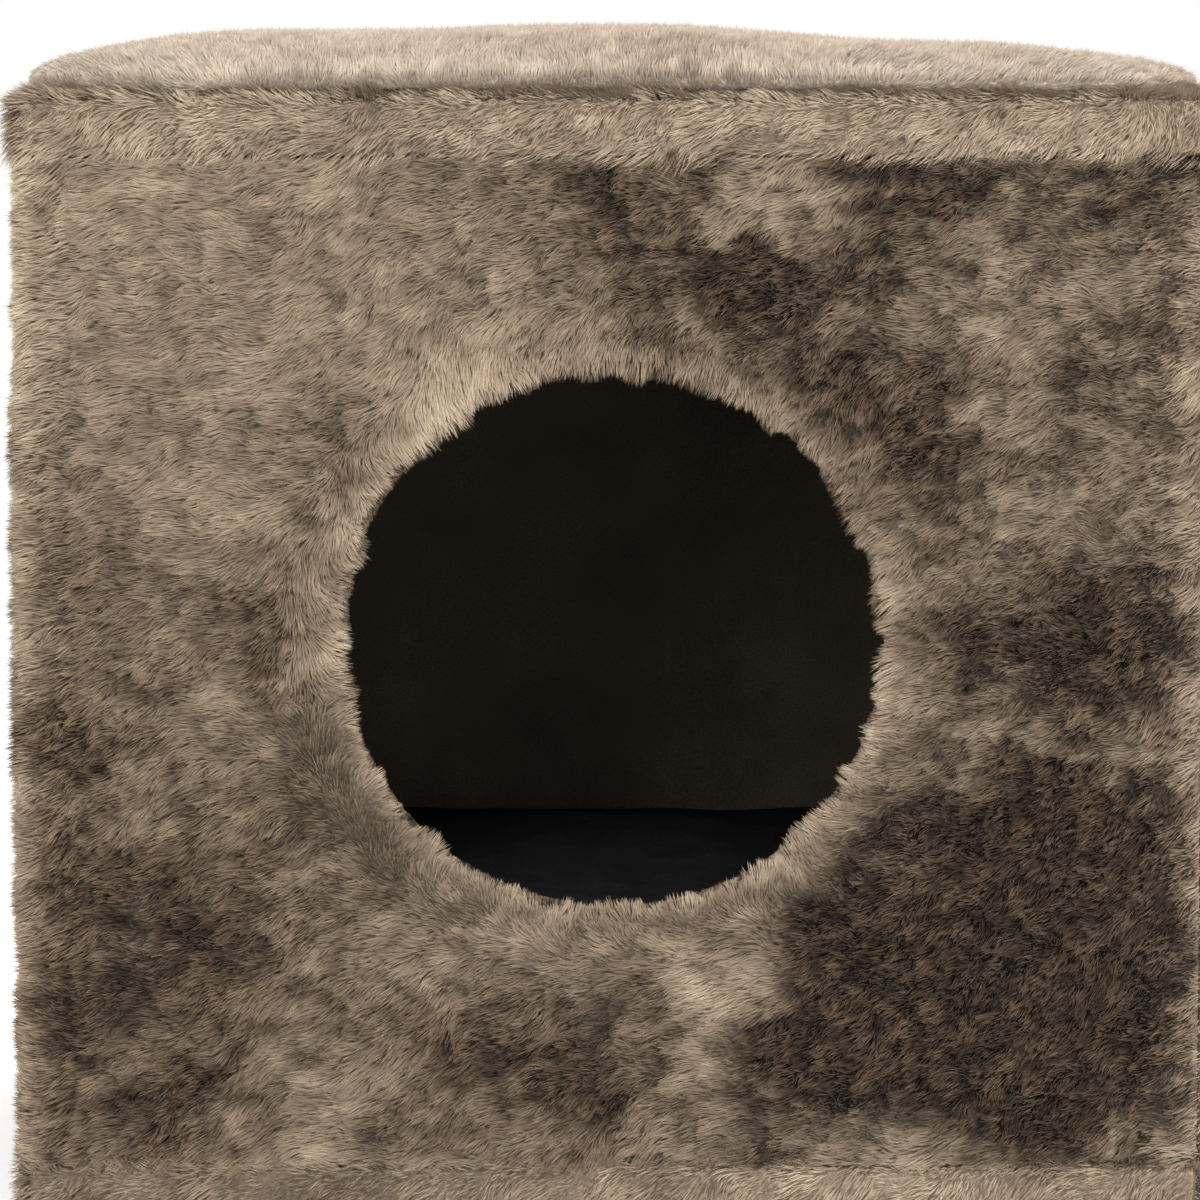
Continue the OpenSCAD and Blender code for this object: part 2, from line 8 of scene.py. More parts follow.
import bpy
import numpy as np
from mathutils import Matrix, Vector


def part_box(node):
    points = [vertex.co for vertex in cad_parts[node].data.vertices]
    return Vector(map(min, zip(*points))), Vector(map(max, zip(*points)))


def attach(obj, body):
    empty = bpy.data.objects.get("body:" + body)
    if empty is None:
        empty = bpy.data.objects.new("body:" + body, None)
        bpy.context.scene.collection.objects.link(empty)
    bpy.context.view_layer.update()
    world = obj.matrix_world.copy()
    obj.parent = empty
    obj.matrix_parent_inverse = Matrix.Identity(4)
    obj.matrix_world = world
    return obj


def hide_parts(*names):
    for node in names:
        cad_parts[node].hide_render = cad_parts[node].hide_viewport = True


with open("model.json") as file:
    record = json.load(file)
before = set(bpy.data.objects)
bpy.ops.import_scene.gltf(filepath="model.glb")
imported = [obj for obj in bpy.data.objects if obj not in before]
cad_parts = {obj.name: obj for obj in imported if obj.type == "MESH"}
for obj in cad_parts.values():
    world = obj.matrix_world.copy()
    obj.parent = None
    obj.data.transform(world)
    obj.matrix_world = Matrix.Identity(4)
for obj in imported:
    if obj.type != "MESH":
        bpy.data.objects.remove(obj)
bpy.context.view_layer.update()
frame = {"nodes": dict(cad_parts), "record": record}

# The photograph's scale on the front of the plush
PIXEL = 0.000298
MIDDLE_PX = 613.5
GROUND_PX = 1228
GROUND_Z = 0.007

# The plush: the knitted cloth, and the pile from the cloth to the outer face of the nap
CLOTH = 0.0012
PILE = 0.0045
SIDE_PILE = 0.0024
PIECE_STRANDS = 75000
CELL_EDGE_SHARE = 0.1
KNIT_THREAD = 0.0009
KNIT_DEPTH = 0.0003

# Fine textures: how many grains of wood make a cloud, and sizes on metal and moulded plastic
CLOUD_GRAINS = 12
SCRATCH = 0.0006
SCRATCH_DEPTH = 0.00004
DULL_PATCH = 0.004
MOULD_GRAIN = 0.0005
MOULD_DEPTH = 0.00006

# The entrance
BORE_R = 0.0825
DOOR_HEM_R = 0.099
DOOR_EDGE_R = 0.003
BORE_CLOTH = 0.001

# Roundings of the cloth on the panels and the boards
CORNER_R = 0.0045
BAND_CORNER_R = 0.004
BAND_EDGE_R = 0.0035
BAND_ROLL = 0.0023
ROLL_W = 0.008
HEM_W = 0.026
HEM_GAP = CLOTH / 4
# Where the rows of a band's cloth lie on the upper face, from its edge to its middle
BAND_FACE_SHARES = (0.14, 0.3, 0.55, 0.8, 0.97)

# Steps of the modelled forms
DOOR_STEPS = 110
DOOR_RINGS = 36
ARC_STEPS = 6
SIDE_STEPS = 24
WALL_STEPS = 80
CORNER_STEPS = 10


def box(node):
    """The lowest and highest corner of a CAD node, as arrays."""
    low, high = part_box(node)
    return np.array(low), np.array(high)


front_low, front_high = box("front_cover")
back_low, back_high = box("back_cover")
deck_high = box("top_board")[1]
pad_high = box("pad_cover")[1]
cushion_high = box("cushion_cover")[1]
strips_high = box("pad_hook_strips")[1]
# How far a soft form's lower edge lies above its underside
SEAM_LIFT = 0.0003
pad_base = box("pad_underside")[0][2] + SEAM_LIFT
cushion_base = box("cushion_underside")[0][2] + SEAM_LIFT
entrance = next(o for o in frame["record"]["physics"]["openings"] if o["name"] == "entrance")
door_z = (entrance["box_m"][0][2] + entrance["box_m"][1][2]) / 2


# Noise, colours and small helpers

LATTICE = 32


def smooth(value, start, end):
    """0 before start, 1 after end, and an even curve between."""
    t = np.clip((value - start) / (end - start), 0, 1)
    return t * t * (3 - 2 * t)


def between(ends, share):
    """A value part of the way from the first of two ends to the second."""
    return ends[0] + (ends[1] - ends[0]) * share


def noise(points, size, seed):
    """Smooth noise from -1 to 1 at points, in lumps of about that size."""
    lattice = np.random.default_rng(seed).uniform(-1, 1, (LATTICE,) * 3)
    place = points / size
    cell = np.floor(place).astype(int)
    part = place - cell
    part = part * part * (3 - 2 * part)
    total = np.zeros(len(points))
    for corner in np.ndindex(2, 2, 2):
        share = np.prod(np.where(corner, part, 1 - part), axis=1)
        total += share * lattice[tuple(((cell + corner) % LATTICE).T)]
    return total


def lumps(points, layers, seed, step=1):
    """Layers of noise, each with the size of its lumps and its strength. A step of 0 repeats the seed."""
    return sum(most * noise(points, size, seed + step * k) for k, (size, most) in enumerate(layers))


def unit(vectors):
    """Vectors of length 1."""
    return vectors / np.maximum(np.linalg.norm(vectors, axis=1, keepdims=True), 1e-9)


def tone(red, green, blue):
    """A colour as a screen shows it, from 0 to 255, turned into the shader's linear values."""
    shares = np.array([red, green, blue]) / 255
    linear = np.where(shares <= 0.04045, shares / 12.92, ((shares + 0.055) / 1.055) ** 2.4)
    return (*linear, 1)


# Materials

def new_look(name):
    """A new material with its nodes and its shader."""
    look = bpy.data.materials.new(name)
    look.use_nodes = True
    tree = look.node_tree
    return look, tree, tree.nodes["Principled BSDF"]


def feed(tree, inputs, values):
    """Gives inputs their values by name or number. A value that is a socket is linked, any other is set."""
    for name, value in values.items():
        if isinstance(value, bpy.types.NodeSocket):
            tree.links.new(value, inputs[name])
        else:
            inputs[name].default_value = value


def add_node(tree, kind, values=(), **settings):
    """A node of that kind with its settings and the values of its inputs."""
    made = tree.nodes.new(kind)
    for name, value in settings.items():
        setattr(made, name, value)
    feed(tree, made.inputs, dict(values))
    return made


def ramp(tree, factor, *stops):
    """A colour ramp fed by a socket. Each stop is a place and a colour as a screen shows it."""
    made = add_node(tree, "ShaderNodeValToRGB", {"Fac": factor})
    elements = made.color_ramp.elements
    while len(elements) < len(stops):
        elements.new(0.5)
    for element, (place, colour) in zip(elements, stops):
        element.position = place
        element.color = tone(*colour)
    return made.outputs["Color"]


def mix_colours(tree, kind, factor, first, second):
    """Two colour sockets mixed by a factor, which is a number or a socket."""
    values = {"Factor": factor, 6: first, 7: second}
    return add_node(tree, "ShaderNodeMix", values, data_type="RGBA", blend_type=kind).outputs[2]


def mix_shaders(tree, factor, first, second, end):
    """Two shader sockets mixed by a factor, led to the surface of an output node."""
    mixed = add_node(tree, "ShaderNodeMixShader", {"Fac": factor, 1: first, 2: second})
    feed(tree, tree.nodes[end].inputs, {"Surface": mixed.outputs["Shader"]})


def place_in(tree, stretch=(1, 1, 1)):
    """The place on the object, stretched along its axes."""
    where = add_node(tree, "ShaderNodeTexCoord").outputs["Object"]
    return add_node(tree, "ShaderNodeMapping", {"Vector": where, "Scale": stretch}).outputs["Vector"]


def speckle(tree, place, size, detail=3.0):
    """Noise in lumps of a size in metres."""
    values = {"Vector": place, "Scale": 1 / size, "Detail": detail}
    return add_node(tree, "ShaderNodeTexNoise", values).outputs["Fac"]


def bump(tree, height, depth):
    """The normals of a bump from a height socket, with its depth in metres."""
    values = {"Height": height, "Distance": depth, "Strength": 1.0}
    return add_node(tree, "ShaderNodeBump", values).outputs["Normal"]


def pile_look(name, lit_flat_pile, shaded_standing_pile):
    """Plush pile: root, middle and tip colours for flat pile, painted lit, and for standing pile, painted in
    shade.
    """
    look, tree, shader = new_look(name)
    strand = add_node(tree, "ShaderNodeAttribute", attribute_name="strand")
    marks = add_node(tree, "ShaderNodeSeparateXYZ", {"Vector": strand.outputs["Vector"]})
    # Painted light and shade: the shade mark mixes lit flat pile with shaded standing pile, and roots are
    # painted darker than tips for the shade in the pile's depths
    places = (0.1, 0.5, 1.0)
    light = ramp(tree, marks.outputs["X"], *zip(places, lit_flat_pile))
    dark = ramp(tree, marks.outputs["X"], *zip(places, shaded_standing_pile))
    flat_tints = ramp(
        tree, marks.outputs["Z"],
        (0.0, (200, 192, 186)), (0.35, (229, 222, 213)), (0.6, (236, 233, 229)),
        (0.85, (249, 244, 233)), (1.0, (255, 254, 250)),
    )
    standing_tints = ramp(
        tree, marks.outputs["Z"],
        (0.0, (104, 98, 94)), (0.5, (180, 174, 168)), (1.0, (255, 252, 246)),
    )
    light = mix_colours(tree, "MULTIPLY", 1.0, light, flat_tints)
    dark = mix_colours(tree, "MULTIPLY", 1.0, dark, standing_tints)
    feed(tree, shader.inputs, {
        "Base Color": mix_colours(tree, "MIX", marks.outputs["Y"], dark, light),
        "Roughness": 0.62,
        "Specular IOR Level": 0.1,
        "Sheen Weight": 0.05,
        "Sheen Roughness": 0.45,
    })
    return look


def fabric_look(name, dark, light, lump, thread, depth, sheen):
    """Cloth, felt or fleece: clouded colour, with threads that are felt as bump and painted shade where they
    lie low.
    """
    look, tree, shader = new_look(name)
    place = place_in(tree)
    clouds = speckle(tree, place, lump)
    threads = speckle(tree, place, thread, 6.0)
    cloud_colour = ramp(tree, clouds, (0.3, dark), (0.7, light))
    # Painted shade between the threads, darker where their bump is low
    thread_shade = ramp(tree, threads, (0.3, (170, 170, 170)), (0.7, (255, 255, 255)))
    feed(tree, shader.inputs, {
        "Base Color": mix_colours(tree, "MULTIPLY", 0.8, cloud_colour, thread_shade),
        "Normal": bump(tree, threads, depth),
        "Roughness": 0.92,
        "Specular IOR Level": 0.06,
        "Sheen Weight": sheen,
        "Sheen Roughness": 0.5,
    })
    return look


def knit_look(name, dark, light):
    """The knitted cloth under the pile, painted as dark as shaded standing pile or as light as lit flat pile
    over it, with painted shade between its threads.
    """
    look, tree, shader = new_look(name)
    nap = add_node(tree, "ShaderNodeAttribute", attribute_name="nap")
    threads = speckle(tree, place_in(tree), KNIT_THREAD, 6.0)
    shade = ramp(tree, threads, (0.3, (190, 190, 190)), (0.7, (255, 255, 255)))
    colour = ramp(tree, nap.outputs["Fac"], (0.0, dark), (1.0, light))
    feed(tree, shader.inputs, {
        "Base Color": mix_colours(tree, "MULTIPLY", 1.0, colour, shade),
        "Normal": bump(tree, threads, KNIT_DEPTH),
        "Roughness": 0.92,
        "Specular IOR Level": 0.06,
    })
    return look


def wood_look(name, dark, light, stretch, grain, depth):
    """Wood or fibreboard, its grain drawn out by the stretch."""
    look, tree, shader = new_look(name)
    fibres = speckle(tree, place_in(tree, stretch), grain, 8.0)
    clouds = speckle(tree, place_in(tree), CLOUD_GRAINS * grain)
    fibre_colour = ramp(tree, fibres, (0.32, dark), (0.66, light))
    cloud_colour = ramp(tree, clouds, (0.3, (205, 195, 185)), (0.7, (255, 255, 255)))
    feed(tree, shader.inputs, {
        "Base Color": mix_colours(tree, "MULTIPLY", 0.7, fibre_colour, cloud_colour),
        "Normal": bump(tree, fibres, depth),
        "Roughness": 0.7,
    })
    return look


def metal_look(name, dark, light):
    """Plated or machined metal with fine scratches and dull patches."""
    look, tree, shader = new_look(name)
    scratches = speckle(tree, place_in(tree, (1, 1, 9)), SCRATCH, 5.0)
    patches = speckle(tree, place_in(tree), DULL_PATCH)
    feed(tree, shader.inputs, {
        "Base Color": ramp(tree, patches, (0.3, dark), (0.7, light)),
        "Roughness": ramp(tree, scratches, (0.3, (125, 125, 125)), (0.7, (185, 185, 185))),
        "Normal": bump(tree, scratches, SCRATCH_DEPTH),
        "Metallic": 1.0,
    })
    return look


def plastic_look(name, dark, light):
    """Moulded plastic with a fine eroded texture."""
    look, tree, shader = new_look(name)
    texture = speckle(tree, place_in(tree), MOULD_GRAIN, 4.0)
    feed(tree, shader.inputs, {
        "Base Color": ramp(tree, texture, (0.3, dark), (0.7, light)),
        "Normal": bump(tree, texture, MOULD_DEPTH),
        "Roughness": 0.5,
    })
    return look


# Lit colours for flat pile and painted shaded colours for standing pile, root to tip
plush = pile_look(
    "plush_pile",
    ((150, 134, 116), (167, 151, 132), (184, 170, 151)),
    ((40, 30, 23), (74, 58, 46), (136, 113, 92)),
)
pad_plush = pile_look(
    "pad_plush_pile",
    ((170, 159, 146), (180, 169, 156), (193, 183, 170)),
    ((134, 120, 105), (158, 143, 127), (183, 168, 152)),
)
# The knits' colours: painted shade under standing pile and painted light under flat pile
knit = knit_look("plush_knit", (34, 26, 20), (150, 133, 115))
pad_knit = knit_look("pad_knit", (130, 115, 100), (180, 166, 150))
felt = fabric_look("felt", (70, 63, 54), (85, 77, 67), lump=0.03, thread=0.0007, depth=0.0002, sheen=0.2)
fleece = fabric_look(
    "fleece", (21, 21, 21), (33, 33, 33), lump=0.012, thread=0.0016, depth=0.0006, sheen=0.0
)
nonwoven = fabric_look(
    "nonwoven_cloth", (38, 38, 40), (50, 50, 52), lump=0.006, thread=0.0006, depth=0.0001, sheen=0.1
)
strip_tape = fabric_look(
    "strip_tape", (34, 34, 36), (56, 56, 58), lump=0.0014, thread=0.0005, depth=0.0004, sheen=0.2
)
foam = fabric_look(
    "open_foam", (214, 200, 158), (236, 226, 190), lump=0.004, thread=0.0008, depth=0.0005, sheen=0.0
)
board = wood_look(
    "fibreboard", (150, 122, 86), (192, 160, 118), stretch=(1, 1, 1), grain=0.0007, depth=0.00005
)
pine = wood_look(
    "planed_softwood", (188, 148, 98), (226, 192, 142), stretch=(1, 1, 0.06), grain=0.0022, depth=0.0001
)
zinc = metal_look("zinc_plate", (176, 178, 180), (206, 208, 210))
brass = metal_look("turned_brass", (188, 152, 82), (214, 180, 106))
foot_plastic = plastic_look("foot_plastic", (30, 29, 28), (44, 42, 41))


# Meshes

def new_piece(name, mesh, look):
    """A piece made of a mesh, smooth and in one material."""
    mesh.shade_smooth()
    mesh.materials.append(look)
    piece = bpy.data.objects.new(name, mesh)
    bpy.context.scene.collection.objects.link(piece)
    return piece


def lattice_piece(name, rows, look, closed=False, capped=False, floored=False, flipped=False):
    """A piece whose faces join rows of points. It may be closed along them, capped and floored."""
    count, width = rows.shape[:2]
    points = rows.reshape(-1, 3)
    index = np.arange(count * width).reshape(count, width)
    across = np.concatenate([index, index[:, :1]], axis=1) if closed else index
    quads = [across[:-1, :-1], across[:-1, 1:], across[1:, 1:], across[1:, :-1]]
    faces = np.stack(quads, axis=-1).reshape(-1, 4).tolist()
    for wanted, row in ((capped, -1), (floored, 0)):
        if wanted:
            rim = across[row].tolist()
            ends = zip(rim[1:], rim) if row == 0 else zip(rim, rim[1:])
            faces += [(a, b, len(points)) for a, b in ends]
            points = np.concatenate([points, rows[row].mean(axis=0)[None]])
    if flipped:
        faces = [face[::-1] for face in faces]
    mesh = bpy.data.meshes.new(name)
    mesh.from_pydata(points.tolist(), [], faces)
    return new_piece(name, mesh, look)


def thicken(piece, depth):
    """Gives a sheet its thickness, behind the face that shows."""
    made = piece.modifiers.new("thickness", "SOLIDIFY")
    made.thickness = depth
    made.offset = -1
    return piece


def arc(centre, radius, start, end, steps=ARC_STEPS):
    """Points of an arc in a plane, between two angles in degrees."""
    turns = np.radians(np.linspace(start, end, steps + 1))
    return np.array(centre) + radius * np.stack([np.cos(turns), np.sin(turns)], axis=1)


def outline(half, radius, bow):
    """A rounded rectangle seen from above, whose sides bow in between its corners."""
    points = []
    for quarter in range(4):
        along, across = half if quarter % 2 == 0 else half[::-1]
        turn = math.radians(90 * (quarter + 1))
        normal = np.array([math.cos(turn), math.sin(turn)])
        travel = np.array([-normal[1], normal[0]])
        centre = normal * (across - radius) - travel * (along - radius)
        points.append(arc(centre, radius, 90 * quarter, 90 * (quarter + 1), CORNER_STEPS))
        s = np.linspace(-1, 1, SIDE_STEPS + 1)[1:-1, None]
        points.append(normal * (across - bow * (1 - s * s)) + travel * s * (along - radius))
    return np.concatenate(points)


def rings(profile, half, radius, bow):
    """Rows of a soft form, one for each (inset, height) of its profile."""
    short = min(half)
    rows = []
    for inset, height in profile:
        left = (short - inset) / short
        flat = outline((half[0] - inset, half[1] - inset), radius * left, bow * left)
        rows.append(np.column_stack([flat, np.full(len(flat), height)]))
    return np.array(rows)


# Cloth that carries the pile

def door_ways(half, low, high):
    """Directions out from the middle of the entrance, and how far a rectangle's edge lies along each."""
    reach = [
        math.atan2(high - door_z, half),
        math.atan2(high - door_z, -half),
        math.atan2(low - door_z, -half) + 2 * math.pi,
        math.atan2(low - door_z, half) + 2 * math.pi,
    ]
    reach.append(reach[0] + 2 * math.pi)
    spans = [np.linspace(a, b, DOOR_STEPS, endpoint=False) for a, b in zip(reach, reach[1:])]
    turns = np.concatenate(spans)
    ways = np.stack([np.cos(turns), np.sin(turns)], axis=1)
    height = np.where(ways[:, 1] > 0, high - door_z, door_z - low)
    across = np.abs(ways) + 1e-9
    return ways, np.minimum(half / across[:, 0], height / across[:, 1])


def door_row(ways, radius, y):
    """A row of points round the entrance at a radius, or at one for each direction, and at a depth."""
    x, z = ways[:, 0] * radius, door_z + ways[:, 1] * radius
    return np.column_stack([x, np.full(len(ways), y), z])


def front_cloth():
    """The front's cloth: from its hem behind the panel, through the entrance and out to the seams."""
    face = front_low[1] + PILE
    rear = front_high[1] - BORE_CLOTH / 2
    bore = BORE_R + BORE_CLOTH
    rim = bore + DOOR_EDGE_R
    ways, edge = door_ways(front_high[0], front_low[2], front_high[2])
    inner = [(DOOR_HEM_R, rear), (bore + BORE_CLOTH, rear), (bore, rear - BORE_CLOTH)]
    lip = arc((rim, face + DOOR_EDGE_R), DOOR_EDGE_R, 180, 270)
    rows = [door_row(ways, r, y) for r, y in [*inner, *lip]]
    shares = np.linspace(0, 1, DOOR_RINGS + 1)[1:]
    rows += [door_row(ways, rim + (edge - rim) * share, face) for share in shares]
    return lattice_piece("front_cloth", np.array(rows), knit, closed=True, flipped=True)


def back_cloth():
    """The back's cloth, a plain panel."""
    face = back_high[1] - PILE
    x = np.linspace(back_high[0], back_low[0], WALL_STEPS)
    z = np.linspace(back_low[2], back_high[2], WALL_STEPS)
    points = np.array([[(a, face, b) for a in x] for b in z])
    return lattice_piece("back_cloth", points, knit)


def side_cloth(side_name):
    """A side's cloth: from the front seam, round the front edge, over the side and round the back."""
    low, high = box(f"{side_name}_cover")
    flipped = side_name == "left"
    sign = -1 if flipped else 1
    inner, outer = sorted(abs(x) for x in (low[0], high[0]))
    front = low[1] + PILE
    side = outer - SIDE_PILE
    corner = arc((side - CORNER_R, front + CORNER_R), CORNER_R, 270, 360)
    near = np.concatenate([[(inner, front)], corner])
    run = np.linspace(front + CORNER_R, -front - CORNER_R, WALL_STEPS)[1:-1]
    flat = np.column_stack([np.full(len(run), side), run])
    plan = np.concatenate([near, flat, near[::-1] * (1, -1)])
    z = np.linspace(low[2], high[2], WALL_STEPS)
    points = np.array([[(sign * x, y, height) for x, y in plan] for height in z])
    return lattice_piece(f"{side_name}_cloth", points, knit, flipped=flipped)


def band_cloth(name, low, bare_high, roll):
    """The cloth round the edge of a board and over its upper face, with a hem underneath. Along the edge it
    rises by a roll over the face."""
    half = (bare_high[0] + CLOTH, bare_high[1] + CLOTH)
    under = low[2] + HEM_GAP
    over = bare_high[2] + CLOTH
    edge = [*arc((BAND_EDGE_R, under + BAND_EDGE_R), BAND_EDGE_R, 270, 180)]
    edge += [*arc((BAND_EDGE_R, over + roll - BAND_EDGE_R), BAND_EDGE_R, 180, 90)]
    inward = [(share * min(half), over) for share in BAND_FACE_SHARES]
    points = rings([(HEM_W, under), *edge, (ROLL_W, over + roll), *inward], half, BAND_CORNER_R, 0)
    return lattice_piece(name, points, knit, closed=True, capped=True)


# Pile

def everywhere(spots, normals):
    """The same pile all over."""
    return np.ones(len(spots))


def nowhere(spots, normals):
    """No change anywhere."""
    return np.zeros(len(spots))


@dataclass
class Pile:
    """How the pile of one cloth grows. Sizes are in metres, and functions take places and their normals."""

    length: float
    width: float
    flow: Callable
    nap: Callable
    density: Callable = everywhere
    stretch: Callable = everywhere
    # Painted light: how much lighter the colour is painted than the lie of the pile tells
    light: Callable = nowhere
    # By how many degrees more the pile leans where it lies flat, and where it hugs an upright corner
    press: float = 0.0
    hug: float = 0.0
    # How far it sways, beside the pile of the walls
    sway: float = 1.0


def surface(mesh):
    """The points of a mesh and its smooth normals there."""
    points, normals = np.zeros((2, len(mesh.vertices) * 3))
    mesh.vertices.foreach_get("co", points)
    mesh.vertex_normals.foreach_get("vector", normals)
    return points.reshape(-1, 3), normals.reshape(-1, 3)


def scatter(cloth, count, density, rng):
    """Roots spread evenly over a cloth, thinned by a density, with the cloth's smooth normals."""
    mesh = cloth.data
    mesh.calc_loop_triangles()
    points, normals = surface(mesh)
    corners = np.zeros(len(mesh.loop_triangles) * 3, int)
    mesh.loop_triangles.foreach_get("vertices", corners)
    a, b, c = (points[corners[k::3]] for k in range(3))
    na, nb, nc = (normals[corners[k::3]] for k in range(3))
    areas = np.linalg.norm(np.cross(b - a, c - a), axis=1)
    areas *= density((a + b + c) / 3, unit(na + nb + nc))
    chosen = rng.choice(len(areas), count, p=areas / areas.sum())
    u, v = np.sqrt(rng.random((count, 1))), rng.random((count, 1))
    shares = (1 - u, u * (1 - v), u * v)
    spots = sum(s * p[chosen] for s, p in zip(shares, (a, b, c)))
    return spots, unit(sum(s * n[chosen] for s, n in zip(shares, (na, nb, nc))))


# Lean of the pile where it stands and where it lies flat, at its middle and its tip, in degrees
STANDING_LEAN = (10, 28)
FLAT_LEAN = (46, 72)
HUG_SHARES = (0.4, 1.0)
# Layers of tufts with the size of their lumps: how many degrees strands swing together, how far tips shift,
# how far tints change, and the middles' share of the shift
SWINGS = ((0.07, 32), (0.018, 28), (0.006, 24))
TUFTS = ((0.004, 0.0012), (0.0016, 0.0012))
TINT_LUMPS = ((0.0045, 0.42), (0.0017, 0.28))
MIDDLE_TUFT_SHARE = 0.35
# How far a single strand strays from its tuft: its tint, its lie where the pile stands and where it is flat,
# its swing, lean and twist in degrees, and its length and width as shares
STRAY_TINT = 0.09
STRAY_LIE = (0.12, 0.05)
STRAY_SWING = 7
STRAY_LEAN = 4
STRAY_TWIST = 28
LENGTH_SHARES = (0.7, 1.15)
WIDTH_SHARES = (0.7, 1.3)
# How far its own weight bends a tip down, and how close to the floor a tip may come
TIP_DROOP = 0.1
LOWEST_TIP = 0.001


def strands(cloth, count, pile, seed):
    """The strands of a cloth's pile: roots, middles, tips, half widths and marks."""
    rng = np.random.default_rng(seed)
    spots, normals = scatter(cloth, count, pile.density, rng)
    nap = np.clip(pile.nap(spots, normals), 0, 1)
    nap = np.clip(nap + rng.normal(0, 1, count) * between(STRAY_LIE, nap), 0, 1)
    way = pile.flow(spots, normals)
    way = unit(way - normals * np.sum(way * normals, axis=1, keepdims=True))
    swing = rng.normal(0, STRAY_SWING, count) + lumps(spots, SWINGS, seed + 10)
    swing = np.radians(swing * pile.sway)[:, None]
    way = way * np.cos(swing) + np.cross(normals, way) * np.sin(swing)
    bends = []
    corner = 2 * np.abs(normals[:, 0] * normals[:, 1])
    for standing, flat, share in zip(STANDING_LEAN, FLAT_LEAN, HUG_SHARES):
        lean = standing + (flat + pile.press - standing) * nap + rng.normal(0, STRAY_LEAN, count)
        lean = np.radians(lean + share * pile.hug * corner)[:, None]
        bends.append(normals * np.cos(lean) + way * np.sin(lean))
    bends[1] = unit(bends[1] - np.array([0, 0, TIP_DROOP]))
    long = pile.length * pile.stretch(spots, normals) * rng.uniform(*LENGTH_SHARES, count)
    half = long[:, None] / 2
    shift = np.stack([lumps(spots, TUFTS, seed + 20 + axis, 3) for axis in range(3)], axis=1)
    shift -= normals * np.sum(shift * normals, axis=1, keepdims=True)
    middles = spots + bends[0] * half + MIDDLE_TUFT_SHARE * shift
    tips = spots + bends[0] * half + bends[1] * half + shift
    tips[:, 2] = np.maximum(tips[:, 2], LOWEST_TIP)
    across = unit(np.cross(normals, way))
    twist = np.radians(rng.uniform(-STRAY_TWIST, STRAY_TWIST, count))[:, None]
    across = across * np.cos(twist) + np.cross(bends[1], across) * np.sin(twist)
    across = across * (pile.width / 2 * rng.uniform(*WIDTH_SHARES, count))[:, None]
    tint = rng.normal(0.5, STRAY_TINT, count) + lumps(spots, TINT_LUMPS, seed + 40)
    # The shade mark: colour painted lit where the pile lies flat and shaded where it stands, plus painted
    # light
    shade = np.clip(nap + pile.light(spots, normals), 0, 1)
    marks = np.stack([np.zeros(count), shade, np.clip(tint, 0, 1)], axis=1)
    return spots, middles, tips, across, marks


def strand_mesh(name, spots, middles, tips, across, marks, cells):
    """Bent blades of four points, each with its marks and its own cell of the texture map."""
    count = len(spots)
    points = np.stack([spots, middles + across, middles - across, tips], axis=1)
    order = np.array([0, 1, 2, 2, 1, 3])
    loops = (4 * np.arange(count)[:, None] + order).ravel()
    mesh = bpy.data.meshes.new(name)
    mesh.vertices.add(4 * count)
    mesh.vertices.foreach_set("co", points.ravel())
    mesh.loops.add(6 * count)
    mesh.loops.foreach_set("vertex_index", loops)
    mesh.polygons.add(2 * count)
    mesh.polygons.foreach_set("loop_start", 3 * np.arange(2 * count))
    mesh.update(calc_edges=True)
    values = np.repeat(marks[:, None], 4, axis=1)
    values[:, :, 0] = (0, 0.5, 0.5, 1)
    strand = mesh.attributes.new("strand", "FLOAT_VECTOR", "POINT")
    strand.data.foreach_set("vector", values.ravel())
    low, high = CELL_EDGE_SHARE, 1 - CELL_EDGE_SHARE
    shape = np.array([(0.5, low), (high, 0.5), (low, 0.5), (0.5, high)])[order]
    layer = mesh.uv_layers.new(name="OFBake")
    side = cells.max() + 1
    layer.uv.foreach_set("vector", ((cells[:, None] + shape) / side).ravel())
    return mesh


def lay_out(spots):
    """The strands in an order, and a cell for each, that keep neighbours on the cloth close on the map."""
    side = math.ceil(math.sqrt(len(spots)))
    reach = np.hypot(spots[:, 0], spots[:, 1])
    columns = np.array_split(np.argsort(np.arctan2(spots[:, 1], spots[:, 0])), side)
    columns = [column[np.argsort((spots[:, 2] - reach)[column])] for column in columns]
    cells = [np.column_stack([np.full(len(c), k), np.arange(len(c))]) for k, c in enumerate(columns)]
    return np.concatenate(columns), np.concatenate(cells)


def grow(name, cloth, count, pile, look, seed):
    """Grows the pile of a cloth, in pieces from the lowest strands to the highest."""
    grown = strands(cloth, count, pile, seed)
    order = np.argsort(grown[0][:, 2])
    parts = np.array_split(order, math.ceil(count / PIECE_STRANDS))
    pieces = []
    for k, part in enumerate(parts):
        label = f"{name}_{k + 1}" if len(parts) > 1 else name
        inside, cells = lay_out(grown[0][part])
        mesh = strand_mesh(label, *(values[part][inside] for values in grown), cells)
        pieces.append(new_piece(label, mesh, look))
    return pieces
